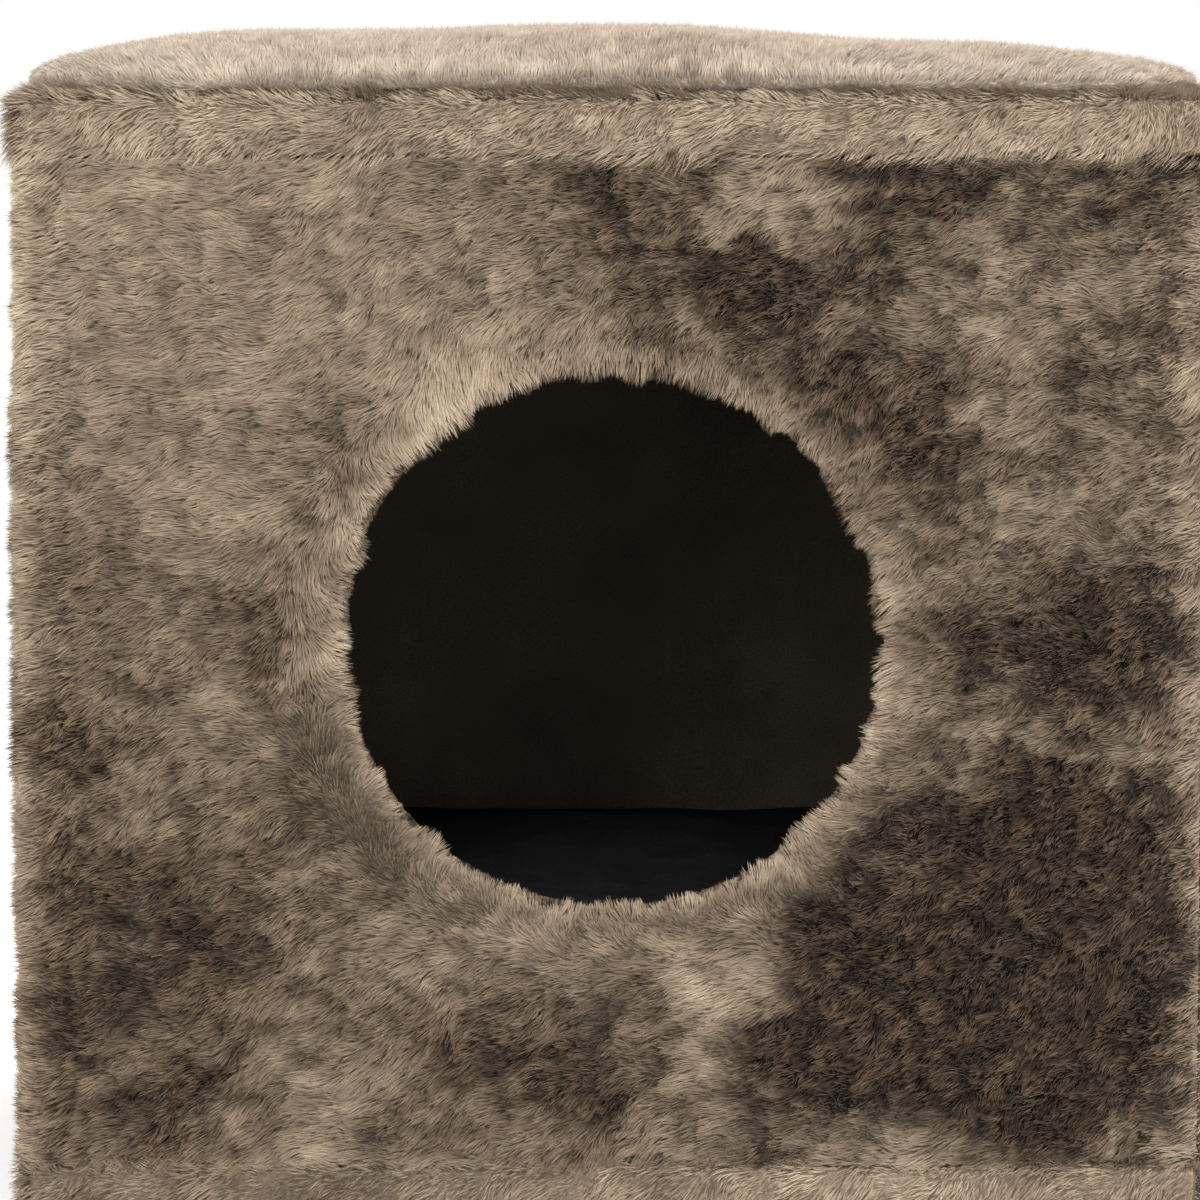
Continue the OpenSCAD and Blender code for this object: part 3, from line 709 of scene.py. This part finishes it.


# The nap: where the pile lies flat, painted light, and where it stands, painted in the shade of its depths

# Patches of the front's nap in the photograph's pixels: middle, half size, tilt in degrees, strength
FRONT_PATCHES = [
    (230, 330, 270, 240, 0, 0.14),
    (350, 165, 70, 40, 0, 0.14),
    (480, 315, 140, 80, -25, 0.18),
    (210, 520, 100, 110, 0, 0.12),
    (180, 700, 80, 40, -30, 0.12),
    (640, 210, 75, 95, 0, -0.15),
    (620, 285, 40, 25, 0, -0.3),
    (758, 268, 55, 28, -25, -0.5),
    (775, 160, 45, 60, -10, 0.42),
    (830, 205, 40, 25, 0, 0.22),
    (920, 170, 90, 45, 0, -0.32),
    (1190, 180, 45, 40, 0, -0.4),
    (1090, 190, 90, 40, 0, -0.2),
    (1000, 240, 60, 30, 0, 0.14),
    (830, 320, 90, 50, 45, -0.16),
    (940, 395, 50, 55, 0, -0.32),
    (890, 425, 80, 20, 0, -0.26),
    (1100, 430, 90, 80, 0, 0.1),
    (1060, 540, 60, 45, 0, 0.2),
    (965, 540, 55, 60, 0, -0.08),
    (1080, 650, 150, 60, 0, -0.36),
    (1070, 752, 100, 14, 0, 0.26),
    (1085, 845, 165, 80, 0, -0.76),
    (900, 860, 60, 60, 0, -0.36),
    (1030, 1000, 220, 110, 0, -0.68),
    (820, 1040, 60, 50, 0, -0.4),
    (850, 970, 50, 50, 0, -0.3),
    (1100, 1110, 130, 60, 0, -0.42),
    (930, 1150, 60, 35, 0, 0.4),
    (270, 610, 45, 30, 0, -0.32),
    (325, 560, 35, 60, 0, -0.18),
    (320, 720, 30, 70, 0, -0.2),
    (80, 740, 55, 45, 0, -0.22),
    (100, 880, 80, 60, 0, -0.22),
    (210, 930, 80, 90, 0, -0.24),
    (60, 1000, 60, 70, 0, -0.3),
    (185, 1080, 80, 35, -35, -0.4),
    (330, 1130, 60, 80, 0, 0.36),
    (490, 955, 140, 30, 10, 0.24),
    (500, 1060, 110, 45, 0, -0.3),
    (610, 1070, 60, 45, 0, -0.28),
    (520, 1112, 90, 16, 5, -0.26),
    (720, 1000, 60, 90, 0, 0.38),
    (690, 1110, 50, 50, 0, 0.16),
    (600, 1195, 700, 35, 0, 0.24),
]
# How ragged the edges of the patches are: the size of the lumps and how many pixels they shift an edge
RAGGED = ((0.02, 36), (0.008, 22), (0.003, 14))
# The ring of flatter pile round the entrance, painted light: its width, its least and most strength, where
# it is lightest in degrees, the least and most of its width as shares, and the size and strength of the
# lumps that vary it
RING_W = 0.0095
RING_STRENGTH = (0.26, 0.5)
RING_TURN = 45
RING_WIDTH_SHARES = (0.7, 1.3)
RING_LUMPS = (0.03, 0.6)
# The ragged rim of the pile round the entrance: its width, the size of its tufts, how much longer or shorter
# they are, and how much shorter they are above and below
FRINGE_W = 0.006
FRINGE_SIZE = 0.007
FRINGE_SHARE = 0.42
FRINGE_CUT_SHARES = (0.2, 0.42)
# Where the pile in the entrance is rubbed down, behind the front, and how much shorter it is above and below
RUBBED_Y = (0.006, 0.012)
RUBBED_SHARES = (0.55, 0.75)
# Clouds of the nap on every face: the size of the lumps, their strength, and how they are drawn out level
CLOUDS = ((0.1, 0.3), (0.04, 0.28), (0.014, 0.3), (0.006, 0.3), (0.0028, 0.34))
CLOUD_SHARES = (0.6, 0.6, 1.0)
# The clouds' strength on the front, from the left of these places to the right of them
FRONT_CLOUD_SHARES = (0.42, 0.8)
FRONT_CLOUD_X = (-0.06, 0.08)
# The nap of the front and of the other walls, and how much flatter their upright edges lie, with painted
# light, and where
FRONT_NAP = 0.44
WALL_NAP = 0.48
EDGE_PAINTED_LIGHT = 0.26
EDGE_X = (0.008, 0.013)
EDGE_Y = (0.165, 0.172)
# How far the pile falls on its way round the box, the way in which the front's lies, and how far from the
# entrance and how deep it turns in
ROUND_FALL = -0.2
FRONT_WAY = math.radians(191)
TURN_IN_W = 0.016
TURN_IN_SHARE = 0.4
# How much denser the pile is on the sides' edges that face the front
EDGE_DENSITY = 1.4


def clouds(spots):
    """Soft light and dark patches with no set place."""
    return lumps(spots * CLOUD_SHARES, CLOUDS, 70)


def front_patches(spots):
    """The nap that the photograph shows on the front."""
    x = MIDDLE_PX + spots[:, 0] / PIXEL
    y = GROUND_PX - (spots[:, 2] - GROUND_Z) / PIXEL
    ragged = [lumps(spots, RAGGED, seed) for seed in (91, 191)]
    value = np.zeros(len(spots))
    for px, py, half_x, half_y, tilt, strength in FRONT_PATCHES:
        turn = math.radians(tilt)
        across = x + ragged[0] - px
        down = y + ragged[1] - py
        u = (across * math.cos(turn) + down * math.sin(turn)) / half_x
        v = (down * math.cos(turn) - across * math.sin(turn)) / half_y
        value += strength * np.exp(-((u * u + v * v) ** 1.5))
    return value


def door_distance(spots):
    """How far spots lie outside the entrance's bore."""
    return np.hypot(spots[:, 0], spots[:, 2] - door_z) - BORE_R


def near_door(spots, width):
    """1 inside the entrance, falling to 0 over about a width outside it."""
    return np.exp(-((np.maximum(door_distance(spots), 0) / width) ** 2))


def door_ring(spots):
    """The flatter pile round the entrance, painted light, widest up on the left and down on the right."""
    turn = np.arctan2(spots[:, 2] - door_z, spots[:, 0])
    size, most = RING_LUMPS
    side = 0.5 + 0.5 * np.cos(2 * turn + math.radians(RING_TURN)) + most * noise(spots, size, 93)
    side = np.clip(side, 0, 1)
    return between(RING_STRENGTH, side) * near_door(spots, RING_W * between(RING_WIDTH_SHARES, side))


def plush_nap(spots, normals):
    """The nap of the den's plush."""
    ahead = smooth(-normals[:, 1], 0.5, 0.9)
    cloud = clouds(spots)
    share = between(FRONT_CLOUD_SHARES, smooth(spots[:, 0], *FRONT_CLOUD_X))
    front = FRONT_NAP + share * cloud + front_patches(spots) + door_ring(spots)
    # Painted light on the upright edges, where the pile also lies flatter
    edge = smooth(np.abs(spots[:, 0]) - front_high[0], *EDGE_X) * smooth(np.abs(spots[:, 1]), *EDGE_Y)
    return between((WALL_NAP + cloud, front), ahead) + EDGE_PAINTED_LIGHT * edge


def front_flow(spots, normals):
    """Across the front to the left, turning into the entrance round its rim."""
    inward = np.arctan2(door_z - spots[:, 2], -spots[:, 0])
    turn = (inward - FRONT_WAY + math.pi) % (2 * math.pi) - math.pi
    near = near_door(spots, TURN_IN_W)
    angle = FRONT_WAY + turn * near
    return np.column_stack([np.cos(angle), -TURN_IN_SHARE * near, np.sin(angle)])


def front_stretch(spots, normals):
    """Shorter pile inside the entrance, where it has rubbed down, and ragged tufts round its rim."""
    inside = smooth(spots[:, 1] - front_low[1], *RUBBED_Y)
    low = smooth((door_z - spots[:, 2]) / BORE_R, 0.0, 0.7)
    tufts = FRINGE_SHARE * noise(spots, FRINGE_SIZE, 94) - between(FRINGE_CUT_SHARES, low)
    return (1 - between(RUBBED_SHARES, low) * inside) * (1 + near_door(spots, FRINGE_W) * tufts)


def front_density(spots, normals):
    """No pile on the hem behind the panel."""
    return 1 - smooth(normals[:, 1], 0.2, 0.5)


def round_flow(spots, normals):
    """Round the box, from the right over the front to the left, and a little down."""
    return np.cross(normals, (0, 0, 1)) + np.array([0, 0, ROUND_FALL])


def side_density(spots, normals):
    """Denser on the edges that face the front, which are seen close to the front's pile."""
    return 1 + EDGE_DENSITY * smooth(-normals[:, 1], 0.3, 0.8)


front_pile = Pile(
    length=0.0062, width=0.00027, flow=front_flow, nap=plush_nap, density=front_density,
    stretch=front_stretch,
)
side_pile = Pile(length=0.0064, width=0.0004, flow=round_flow, nap=plush_nap, density=side_density, hug=36)
back_pile = Pile(length=0.0064, width=0.00042, flow=round_flow, nap=plush_nap)


# Edge bands

BAND_TUFT_SIZE = 0.008
BAND_TUFT_SHARE = 0.45
# Sets how close to a corner of the board the pile turns from one side to the next
OUT_POWER = 8
# Inside this distance from a board's edge the pad or the posts press the pile down
PRESSED_W = 0.012
# How bare the upper face is on the top board and on the base board, which lies under the floor cushion
BARE_SHARES = (0.82, 0.97)
# The width of the hook strips, which have no pile under them
STRIP_W = 0.025
# The nap of the bands, how much flatter it lies and how much painted light it has on the right, between
# these places, and towards the lower edge, how much darker on the sides, and how far the clouds show
BAND_NAP = 0.49
BAND_RIGHT_LIT = 0.24
BAND_RIGHT_LIT_X = (-0.12, 0.1)
BAND_LOW = 0.25
BAND_ASIDE = 0.24
BAND_CLOUD_SHARE = 0.5
# How much lighter than their lie the bands are painted, on the upright edge and along the upper rim under
# the pad: painted light
BAND_PAINTED_LIGHT = (0.2, 0.4)
# How steeply the pile falls on the front and on the sides, and how far it leans out along the upper rim
BAND_FALL = (0.45, 1.55)
RIM_OUT = 0.5
# How much shorter the pile is on the upper face, and how much longer on the sides, low down and on the rim
FACE_SHORTER_SHARE = 0.62
LONGER_SHARES = (0.4, 0.35, 0.15)


def upper_rim(normals):
    """1 where the pile grows upwards, 0 on the upright edge."""
    return smooth(normals[:, 2], 0.15, 0.7)


def lower_rim(normals):
    """1 where the pile grows downwards, 0 on the upright edge."""
    return smooth(-normals[:, 2], 0.1, 0.6)


def aside(normals):
    """1 on the sides of the box, 0 on its front and back."""
    return smooth(np.abs(normals[:, 0]), 0.5, 0.9)


def band_flow(spots, normals):
    """Round the box along the upper rim, and down the upright edge."""
    out = unit(np.sign(spots) * np.abs(spots / deck_high[0]) ** OUT_POWER * (1, 1, 0))
    rim = upper_rim(normals)[:, None]
    fall = between(BAND_FALL, aside(normals))[:, None]
    return np.cross(out, (0, 0, 1)) + RIM_OUT * rim * out - np.array([0, 0, 1]) * fall * (1 - rim)


def band_nap(spots, normals):
    """A light nap with soft patches, flatter and with painted light on the right, which stands out on the
    sides.
    """
    nap = BAND_NAP + BAND_RIGHT_LIT * smooth(spots[:, 0], *BAND_RIGHT_LIT_X) + BAND_CLOUD_SHARE * clouds(spots)
    return nap - BAND_ASIDE * aside(normals) + BAND_LOW * lower_rim(normals)


def on_face(spots, normals):
    """1 on the flat upper face of a board, 0 on its rounded edge."""
    reach = np.maximum(np.abs(spots[:, 0]), np.abs(spots[:, 1]))
    edge = deck_high[0] - PRESSED_W
    return (1 - smooth(reach, edge - PRESSED_W, edge)) * smooth(normals[:, 2], 0.5, 0.8)


def band_density(spots, normals):
    """Thin pile on the pressed upper face, and none on the hem underneath or under the strips."""
    inside = np.all((np.abs(spots[:, :2]) < strips_high[:2]), axis=1)
    under = inside & (np.abs(spots[:, 0]) > strips_high[0] - STRIP_W) & (normals[:, 2] > 0.5)
    thin = np.where(spots[:, 2] > door_z, *BARE_SHARES) * on_face(spots, normals)
    value = (1 + upper_rim(normals)) * (1 - thin) * (1 - smooth(-normals[:, 2], 0.6, 0.9))
    return np.where(under, 0, value)


def band_stretch(spots, normals):
    """Pressed pile on the upper face, and tufts of uneven length round the edge."""
    tufts = BAND_TUFT_SHARE * noise(spots, BAND_TUFT_SIZE, 95)
    places = (aside(normals), lower_rim(normals), upper_rim(normals))
    longer = sum(share * place for share, place in zip(LONGER_SHARES, places))
    return (1 - FACE_SHORTER_SHARE * on_face(spots, normals)) * (1 + tufts + longer)


def band_painted_light(spots, normals):
    """Painted light: lighter than the walls, most of all along the upper rim under the pad."""
    return between(BAND_PAINTED_LIGHT, upper_rim(normals))


band_pile = Pile(
    length=0.0056, width=0.00032, flow=band_flow, nap=band_nap, density=band_density, stretch=band_stretch,
    light=band_painted_light, sway=1.3,
)


# Top pad and floor cushion

# How far round the lower edge of a soft form is, in degrees
LOW_LEAN = 60
# How far the pad's pile fans out towards its sides, and how steeply it climbs the front rim
PAD_FAN = 0.5
PAD_RISE = 1.5


@dataclass
class SoftForm:
    """A pad or cushion: how far its rim reaches in, its crown, the height of its widest line, the tuck
    under that, how full its rim is (2 is round), its corner radius and how far its sides bow in."""

    rim: float
    crown: float
    widest: float
    tuck: float
    full: float
    corner_r: float
    bow: float


PAD = SoftForm(rim=0.058, crown=0.0025, widest=0.003, tuck=0.0015, full=1.52, corner_r=0.038, bow=0.0025)
CUSHION = SoftForm(rim=0.044, crown=0.011, widest=0.024, tuck=0.012, full=2.0, corner_r=0.0683, bow=0.006)
# How many rows make the lower edge, the rim and the crown, and how far in the crown's rows reach
LOW_ROWS = 5
RIM_ROWS = 15
CROWN_ROWS = 12
CROWN_REACH_SHARE = 0.97
# Room for the pad's pile inside its CAD box, across, along and above
PAD_PILE = np.array([0.0027, 0.004, 0.0023])
# How far the pad has sunk on the right, and where
PAD_DROOP = 0.0058
DROOP_X = (0.0, 0.14)
PAD_LUMPS = ((0.06, 0.0011), (0.025, 0.0006))
CUSHION_LUMPS = ((0.05, 0.0016), (0.02, 0.0008))
# How far a filling stays inside the cloth over it
FILLING_GAP = 0.006
FILLING_LIFT = 0.001
FILLING_SHARE = 0.955


def soft_rows(form, half, base, height):
    """Rows of a pad or cushion: up its lower edge, over its rim and up its crown."""
    rise = height - form.crown
    bulge = 2 / form.full
    profile = []
    for lean in np.radians(np.linspace(LOW_LEAN, 0, LOW_ROWS)[:-1]):
        inset = form.tuck * (1 - math.cos(lean)) / (1 - math.cos(math.radians(LOW_LEAN)))
        lift = form.widest * (1 - math.sin(lean) / math.sin(math.radians(LOW_LEAN)))
        profile.append((inset, base + lift))
    for lean in np.radians(np.linspace(0, 90, RIM_ROWS)):
        inset = form.rim * (1 - math.cos(lean) ** bulge) if lean < math.pi / 2 else form.rim
        profile.append((inset, base + form.widest + (rise - form.widest) * math.sin(lean) ** bulge))
    for u in np.linspace(0, CROWN_REACH_SHARE, CROWN_ROWS)[1:]:
        inset = form.rim + (min(half) - form.rim) * u
        profile.append((inset, base + rise + form.crown * u * u * (3 - 2 * u)))
    return rings(profile, half, form.corner_r, form.bow)


def settle(rows, base, height, layers, seed):
    """Raises and lowers a soft form in lumps, more towards its top. Gives its points and height shares."""
    flat = rows.reshape(-1, 3)
    share = np.clip((flat[:, 2] - base) / height, 0, 1)
    flat[:, 2] += share * lumps(flat, layers, seed)
    return flat, share


def pad_rows():
    """The pad's form: crowned, its sides drawn in, a little lower on the right where it has sunk."""
    half = (pad_high - PAD_PILE)[:2]
    height = pad_high[2] - PAD_PILE[2] - pad_base
    rows = soft_rows(PAD, half, pad_base, height)
    flat, share = settle(rows, pad_base, height, PAD_LUMPS, 41)
    flat[:, 2] -= share * PAD_DROOP * smooth(flat[:, 0], *DROOP_X)
    return rows


def cushion_rows():
    """The floor cushion's form, with soft dents."""
    height = cushion_high[2] - cushion_base
    rows = soft_rows(CUSHION, cushion_high[:2], cushion_base, height)
    flat, share = settle(rows, cushion_base, height, CUSHION_LUMPS, 51)
    flat[:, 2] -= share * sum(most for _, most in CUSHION_LUMPS) / 2
    return rows


def filling(rows):
    """The form of the filling, a little smaller all round than the cloth over it."""
    low = rows[..., 2].min()
    tall = rows[..., 2] - low
    inside = rows * (FILLING_SHARE, FILLING_SHARE, 1)
    inside[..., 2] = low + FILLING_LIFT + tall * tall / (tall + FILLING_GAP)
    return inside


def underside(name, rows, low):
    """The cloth sewn to a soft form's lower edge, drawn flat and a little puckered."""
    rim = rows[0] * (1, 1, 0)
    level = np.array([rim * share for share in UNDERSIDE_SHARES])
    puckers = lumps(level.reshape(-1, 3), PUCKERS, 61, 0)
    level[..., 2] = low + PUCKER_ROOM + puckers.reshape(level.shape[:2])
    return lattice_piece(name, level, nonwoven, closed=True, capped=True, flipped=True)


# The pad's lower edge, in heights above its base, and how much lower it is where the pad has sunk
LOW_EDGE_Z = (0.002, 0.007)
SUNK_SHARE = 0.45
# The pad's nap, how far the clouds show, how much darker it is on the flat of the top and in a patch at the
# front, that patch's middle, width and depth, and how much lighter than its lie the pile is painted above
# its lower edge, which leaves painted shade along the seam
PAD_NAP = 0.78
PAD_CLOUD_SHARE = 0.22
PAD_FLAT = 0.16
PAD_PATCH = 0.42
PAD_PATCH_X = (0.018, 0.024)
PAD_PATCH_Y = (0.1, 0.17)
PAD_SEAM_SHADE = 0.12
# How much denser the pile is round the rim, and how much shorter along the lower edge and on the sides
RIM_DENSITY = 2.5
PAD_SHORTER_SHARES = (0.35, 0.3)


def pad_low_edge(spots):
    """1 on the pad's lower edge, where the pile hangs over the seam, 0 above it."""
    sunk = 1 - SUNK_SHARE * smooth(spots[:, 0], *DROOP_X)
    return 1 - smooth((spots[:, 2] - pad_base) / sunk, *LOW_EDGE_Z)


def pad_nap(spots, normals):
    """A light nap, with a darker patch in the middle of the front edge."""
    middle, width = PAD_PATCH_X
    patch = np.exp(-(((spots[:, 0] - middle) / width) ** 2)) * smooth(-spots[:, 1], *PAD_PATCH_Y)
    flat = smooth(normals[:, 2], 0.93, 0.99)
    return PAD_NAP + PAD_CLOUD_SHARE * clouds(spots) - PAD_PATCH * patch - PAD_FLAT * flat


def pad_density(spots, normals):
    """Denser round the rim than on the flat of the top."""
    return 1 + RIM_DENSITY * (1 - smooth(normals[:, 2], 0.85, 0.99))


def pad_flow(spots, normals):
    """Up the front rim and over the top to the back, fanned out a little to the sides."""
    ahead = smooth(-normals[:, 1], 0.2, 0.7)
    return np.column_stack([PAD_FAN * spots[:, 0] / pad_high[0], np.ones(len(spots)), PAD_RISE * ahead])


def pad_stretch(spots, normals):
    """Shorter pile along the lower edge and on the sides."""
    low, side = PAD_SHORTER_SHARES
    return (1 - low * pad_low_edge(spots)) * (1 - side * smooth(np.abs(normals[:, 0]), 0.3, 0.7))


def pad_seam_shade(spots, normals):
    """Painted shade: darker towards the lower edge, over the seam."""
    return PAD_SEAM_SHADE * (1 - pad_low_edge(spots))


pad_pile = Pile(
    length=0.0062, width=0.00028, flow=pad_flow, nap=pad_nap, density=pad_density, stretch=pad_stretch,
    light=pad_seam_shade, press=17,
)


# Linings

UNDERSIDE_SHARES = (0.985, 0.95, 0.8, 0.6, 0.4, 0.2)
PUCKERS = ((0.03, 0.0002), (0.012, 0.0001))
PUCKER_ROOM = 0.0006
CEILING_CORNER_R = 0.011
LINING_STEPS = 20
DOOR_FELT_SHARES = (0.0, 0.1, 0.25, 0.5, 0.75, 1.0)
CEILING_SHARES = (1.0, 0.8, 0.6, 0.4, 0.2)


def puckered(rows, axis, seed):
    """Rows of a flat lining, puckered a little along an axis."""
    flat = rows.reshape(-1, 3)
    flat[:, axis] += lumps(flat, PUCKERS, seed, 0)
    return rows


def wall_lining(wall, inner, axis):
    """A plain lining on a wall. inner is 1 where its inner face lies on the higher side along the axis."""
    low, high = box(f"{wall}_lining")
    across = 1 - axis
    face = (low, high)[inner][axis] + (1 - 2 * inner) * PUCKER_ROOM
    rows = np.zeros((LINING_STEPS, LINING_STEPS, 3))
    rows[..., axis] = face
    rows[..., across] = np.linspace(low[across], high[across], LINING_STEPS)
    rows[..., 2] = np.linspace(low[2], high[2], LINING_STEPS)[:, None]
    flipped = (inner == 1) == (axis == 1)
    return lattice_piece(f"{wall}_felt", puckered(rows, axis, 62), felt, flipped=flipped)


def front_felt():
    """The front's lining, cut out round the hem of the entrance."""
    low, high = box("front_lining")
    ways, edge = door_ways(high[0], low[2], high[2])
    face = high[1] - PUCKER_ROOM
    rows = [door_row(ways, between((DOOR_HEM_R, edge), share), face) for share in DOOR_FELT_SHARES]
    return lattice_piece("front_felt", puckered(np.array(rows), 1, 63), felt, closed=True)


def ceiling_felt():
    """The ceiling's lining, cut round the bolts at its corners."""
    low, high = box("ceiling_lining")
    flat = outline(high[:2], CEILING_CORNER_R, 0)
    level = np.full(len(flat), low[2] + PUCKER_ROOM)
    rows = np.array([np.column_stack([flat * share, level]) for share in CEILING_SHARES])
    rows = puckered(rows, 2, 64)
    return lattice_piece("ceiling_felt", rows, felt, closed=True, capped=True, flipped=True)


# Making the pieces

def put(piece, body, slot, *nodes):
    """Has a piece ride on a body and stand for CAD nodes, which it hides. The slot is not used."""
    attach(piece, body)
    if nodes:
        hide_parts(*nodes)
    return piece


def mark_painted_nap(cloth, pile):
    """Marks on a cloth how light the pile over it is painted, for the knit's painted light and shade."""
    points, normals = surface(cloth.data)
    nap = pile.nap(points, normals) + pile.light(points, normals)
    layer = cloth.data.attributes.new("nap", "FLOAT", "POINT")
    layer.data.foreach_set("value", np.clip(nap, 0, 1))


def dress(name, cloth, count, pile, look, body, seed, slot, node):
    """Grows pile on a cloth, and has both ride on a body. The cloth stands for its CAD node."""
    furs = grow(name, cloth, count, pile, look, seed)
    mark_painted_nap(cloth, pile)
    put(thicken(cloth, CLOTH), body, slot, node)
    return [put(fur, body, slot) for fur in furs]


def fill_form(label, rows, base, body, block_name, node):
    """Fills a soft form with a block that stands for a CAD node, and closes it with the cloth underneath."""
    block = lattice_piece(block_name, filling(rows), foam, closed=True, capped=True, floored=True)
    put(block, body, "foam", node)
    back = underside(f"{label}_back", rows, base)
    put(thicken(back, PUCKER_ROOM), body, "cloth", f"{label}_underside")


den_h = front_high[2] - front_low[2]
# The width of a sheet that turns round the sides' edges is reckoned from its own area, with this share to
# spare
SPARE_SHARE = 1.0005
for wall, cloth, count, pile, seed in (
    ("front", front_cloth(), 400000, front_pile, 100),
    ("left", side_cloth("left"), 150000, side_pile, 200),
    ("right", side_cloth("right"), 150000, side_pile, 300),
    ("back", back_cloth(), 100000, back_pile, 400),
):
    furs = dress(f"{wall}_pile", cloth, count, pile, plush, "den", seed, "plush", f"{wall}_cover")
    width = sum(face.area for face in cloth.data.polygons) / den_h
    if wall in ("front", "back"):
        width = max(width, 2 * front_high[0])
    else:
        width *= SPARE_SHARE

for label, roll, count, seed in (("top", BAND_ROLL, 290000, 500), ("base", 0, 130000, 600)):
    bare_low, bare_high = box(f"{label}_board")
    cloth = band_cloth(f"{label}_cloth", box(f"{label}_cover")[0], bare_high, roll)
    furs = dress(f"{label}_pile", cloth, count, band_pile, plush, "den", seed, "plush", f"{label}_cover")

pad = lattice_piece("pad_cloth", pad_rows(), pad_knit, closed=True, capped=True)
dress("pad_pile", pad, 240000, pad_pile, pad_plush, "top_pad", 700, "pad_plush", "pad_cover")
fill_form("pad", pad_rows(), pad_base, "top_pad", "pad_block", "pad_foam")

cushion = lattice_piece("cushion_fleece", cushion_rows(), fleece, closed=True, capped=True)
put(thicken(cushion, CLOTH), "floor_cushion", "cushion", "cushion_cover")
fill_form("cushion", cushion_rows(), cushion_base, "floor_cushion", "cushion_stuffing", "cushion_filling")

for wall, lining in (
    ("front", front_felt()),
    ("back", wall_lining("back", 0, 1)),
    ("left", wall_lining("left", 1, 0)),
    ("right", wall_lining("right", 0, 0)),
    ("ceiling", ceiling_felt()),
):
    put(thicken(lining, PUCKER_ROOM), "den", "felt", f"{wall}_lining")

FINISHES = {
    "board": board, "post": pine, "steel": zinc, "brass": brass, "foot": foot_plastic, "felt": felt,
    "cloth": nonwoven, "strip": strip_tape, "foam": foam, "cushion": fleece, "plush": knit,
    "pad_plush": knit,
}
for node in frame["nodes"].values():
    for place in node.material_slots:
        if place.material:
            slot = place.material.name.split(".")[0]
            place.material = FINISHES.get(slot, place.material)


# Stage, light and camera

WHITE = (1, 1, 1, 1)
AMBIENT = 0.5
FLOOR_R = 4.0
FLOOR_STEPS = 64
# Where the floor begins to turn into the white behind the object, and where it is all white
FLOOR_FADE = (0.28, 0.6)


def seen_straight(tree):
    """1 for what the camera sees, also in a mirror or through glass, and 0 for light on the object."""
    path = add_node(tree, "ShaderNodeLightPath")
    seen = path.outputs["Is Camera Ray"]
    for ray in ("Is Glossy Ray", "Is Transmission Ray"):
        either = add_node(tree, "ShaderNodeMath", {0: seen, 1: path.outputs[ray]}, operation="MAXIMUM")
        seen = either.outputs["Value"]
    return seen


def floor_look():
    """A pale floor that takes the object's shadow and turns into the white backdrop further out."""
    look, tree, shader = new_look("pale_floor")
    feed(tree, shader.inputs, {"Base Color": tone(244, 244, 244), "Roughness": 0.9})
    shine = add_node(tree, "ShaderNodeEmission", {"Color": WHITE, "Strength": 1.0})
    where = add_node(tree, "ShaderNodeNewGeometry").outputs["Position"]
    far = add_node(tree, "ShaderNodeVectorMath", {0: where}, operation="LENGTH").outputs["Value"]
    start, end = FLOOR_FADE
    fade = add_node(tree, "ShaderNodeMapRange", {"Value": far, "From Min": start, "From Max": end})
    values = {0: fade.outputs["Result"], 1: seen_straight(tree)}
    share = add_node(tree, "ShaderNodeMath", values, operation="MULTIPLY").outputs["Value"]
    mix_shaders(tree, share, shader.outputs["BSDF"], shine.outputs["Emission"], "Material Output")
    return look


def make_floor():
    """A round floor under the feet."""
    turns = np.linspace(0, 2 * math.pi, FLOOR_STEPS, endpoint=False)
    rows = np.array([
        [(r * math.cos(a), r * math.sin(a), 0) for a in turns] for r in (FLOOR_R, FLOOR_R / 2)
    ])
    lattice_piece("floor", rows, floor_look(), closed=True, capped=True)


def make_world():
    """Soft light from all round, with white behind the object."""
    world = bpy.data.worlds.new("studio")
    world.use_nodes = True
    tree = world.node_tree
    ambient = tree.nodes["Background"]
    feed(tree, ambient.inputs, {"Color": WHITE, "Strength": AMBIENT})
    white = add_node(tree, "ShaderNodeBackground", {"Color": WHITE, "Strength": 1.0})
    shades = (ambient.outputs["Background"], white.outputs["Background"])
    mix_shaders(tree, seen_straight(tree), *shades, "World Output")
    bpy.context.scene.world = world


# Soft square lamps, all aimed at one place: name, place, size and power
LAMP_AIM = np.array([0, 0, 0.2])
LAMPS = (
    ("key", (-1.0, -2.4, 1.0), 1.2, 46),
    ("front", (0.5, -2.6, 0.5), 1.0, 10),
    ("top", (0.6, -1.6, 2.0), 1.6, 66),
    ("fill", (2.0, -0.8, 0.9), 1.6, 24),
    ("rear", (0.8, 2.3, 1.2), 1.6, 56),
    ("left", (-2.0, 1.3, 1.1), 1.6, 58),
)


def make_lamp(name, place, size, power):
    """A square soft lamp."""
    lamp = bpy.data.lights.new(name, "AREA")
    lamp.size = size
    lamp.energy = power
    made = bpy.data.objects.new(name, lamp)
    made.location = place
    way = LAMP_AIM - np.array(place)
    made.rotation_euler = Vector(way).to_track_quat("-Z", "Y").to_euler()
    bpy.context.scene.collection.objects.link(made)


CAMERA_PLACE = (0.0028, -1.78, 0.3557)
CAMERA_PITCH = 4.96
CAMERA_LENS = 160.8
CAMERA_SHIFT = (-0.0184, -0.06)


def make_camera():
    """The photograph's view: straight on to the front, a little above its middle."""
    data = bpy.data.cameras.new("camera")
    data.sensor_width = 36
    data.lens = CAMERA_LENS
    data.shift_x, data.shift_y = CAMERA_SHIFT
    camera = bpy.data.objects.new("camera", data)
    camera.location = CAMERA_PLACE
    camera.rotation_euler = (math.radians(90 - CAMERA_PITCH), 0, 0)
    bpy.context.scene.collection.objects.link(camera)
    bpy.context.scene.camera = camera


make_floor()
make_world()
for lamp in LAMPS:
    make_lamp(*lamp)
make_camera()
bpy.context.scene.view_settings.view_transform = "Standard"
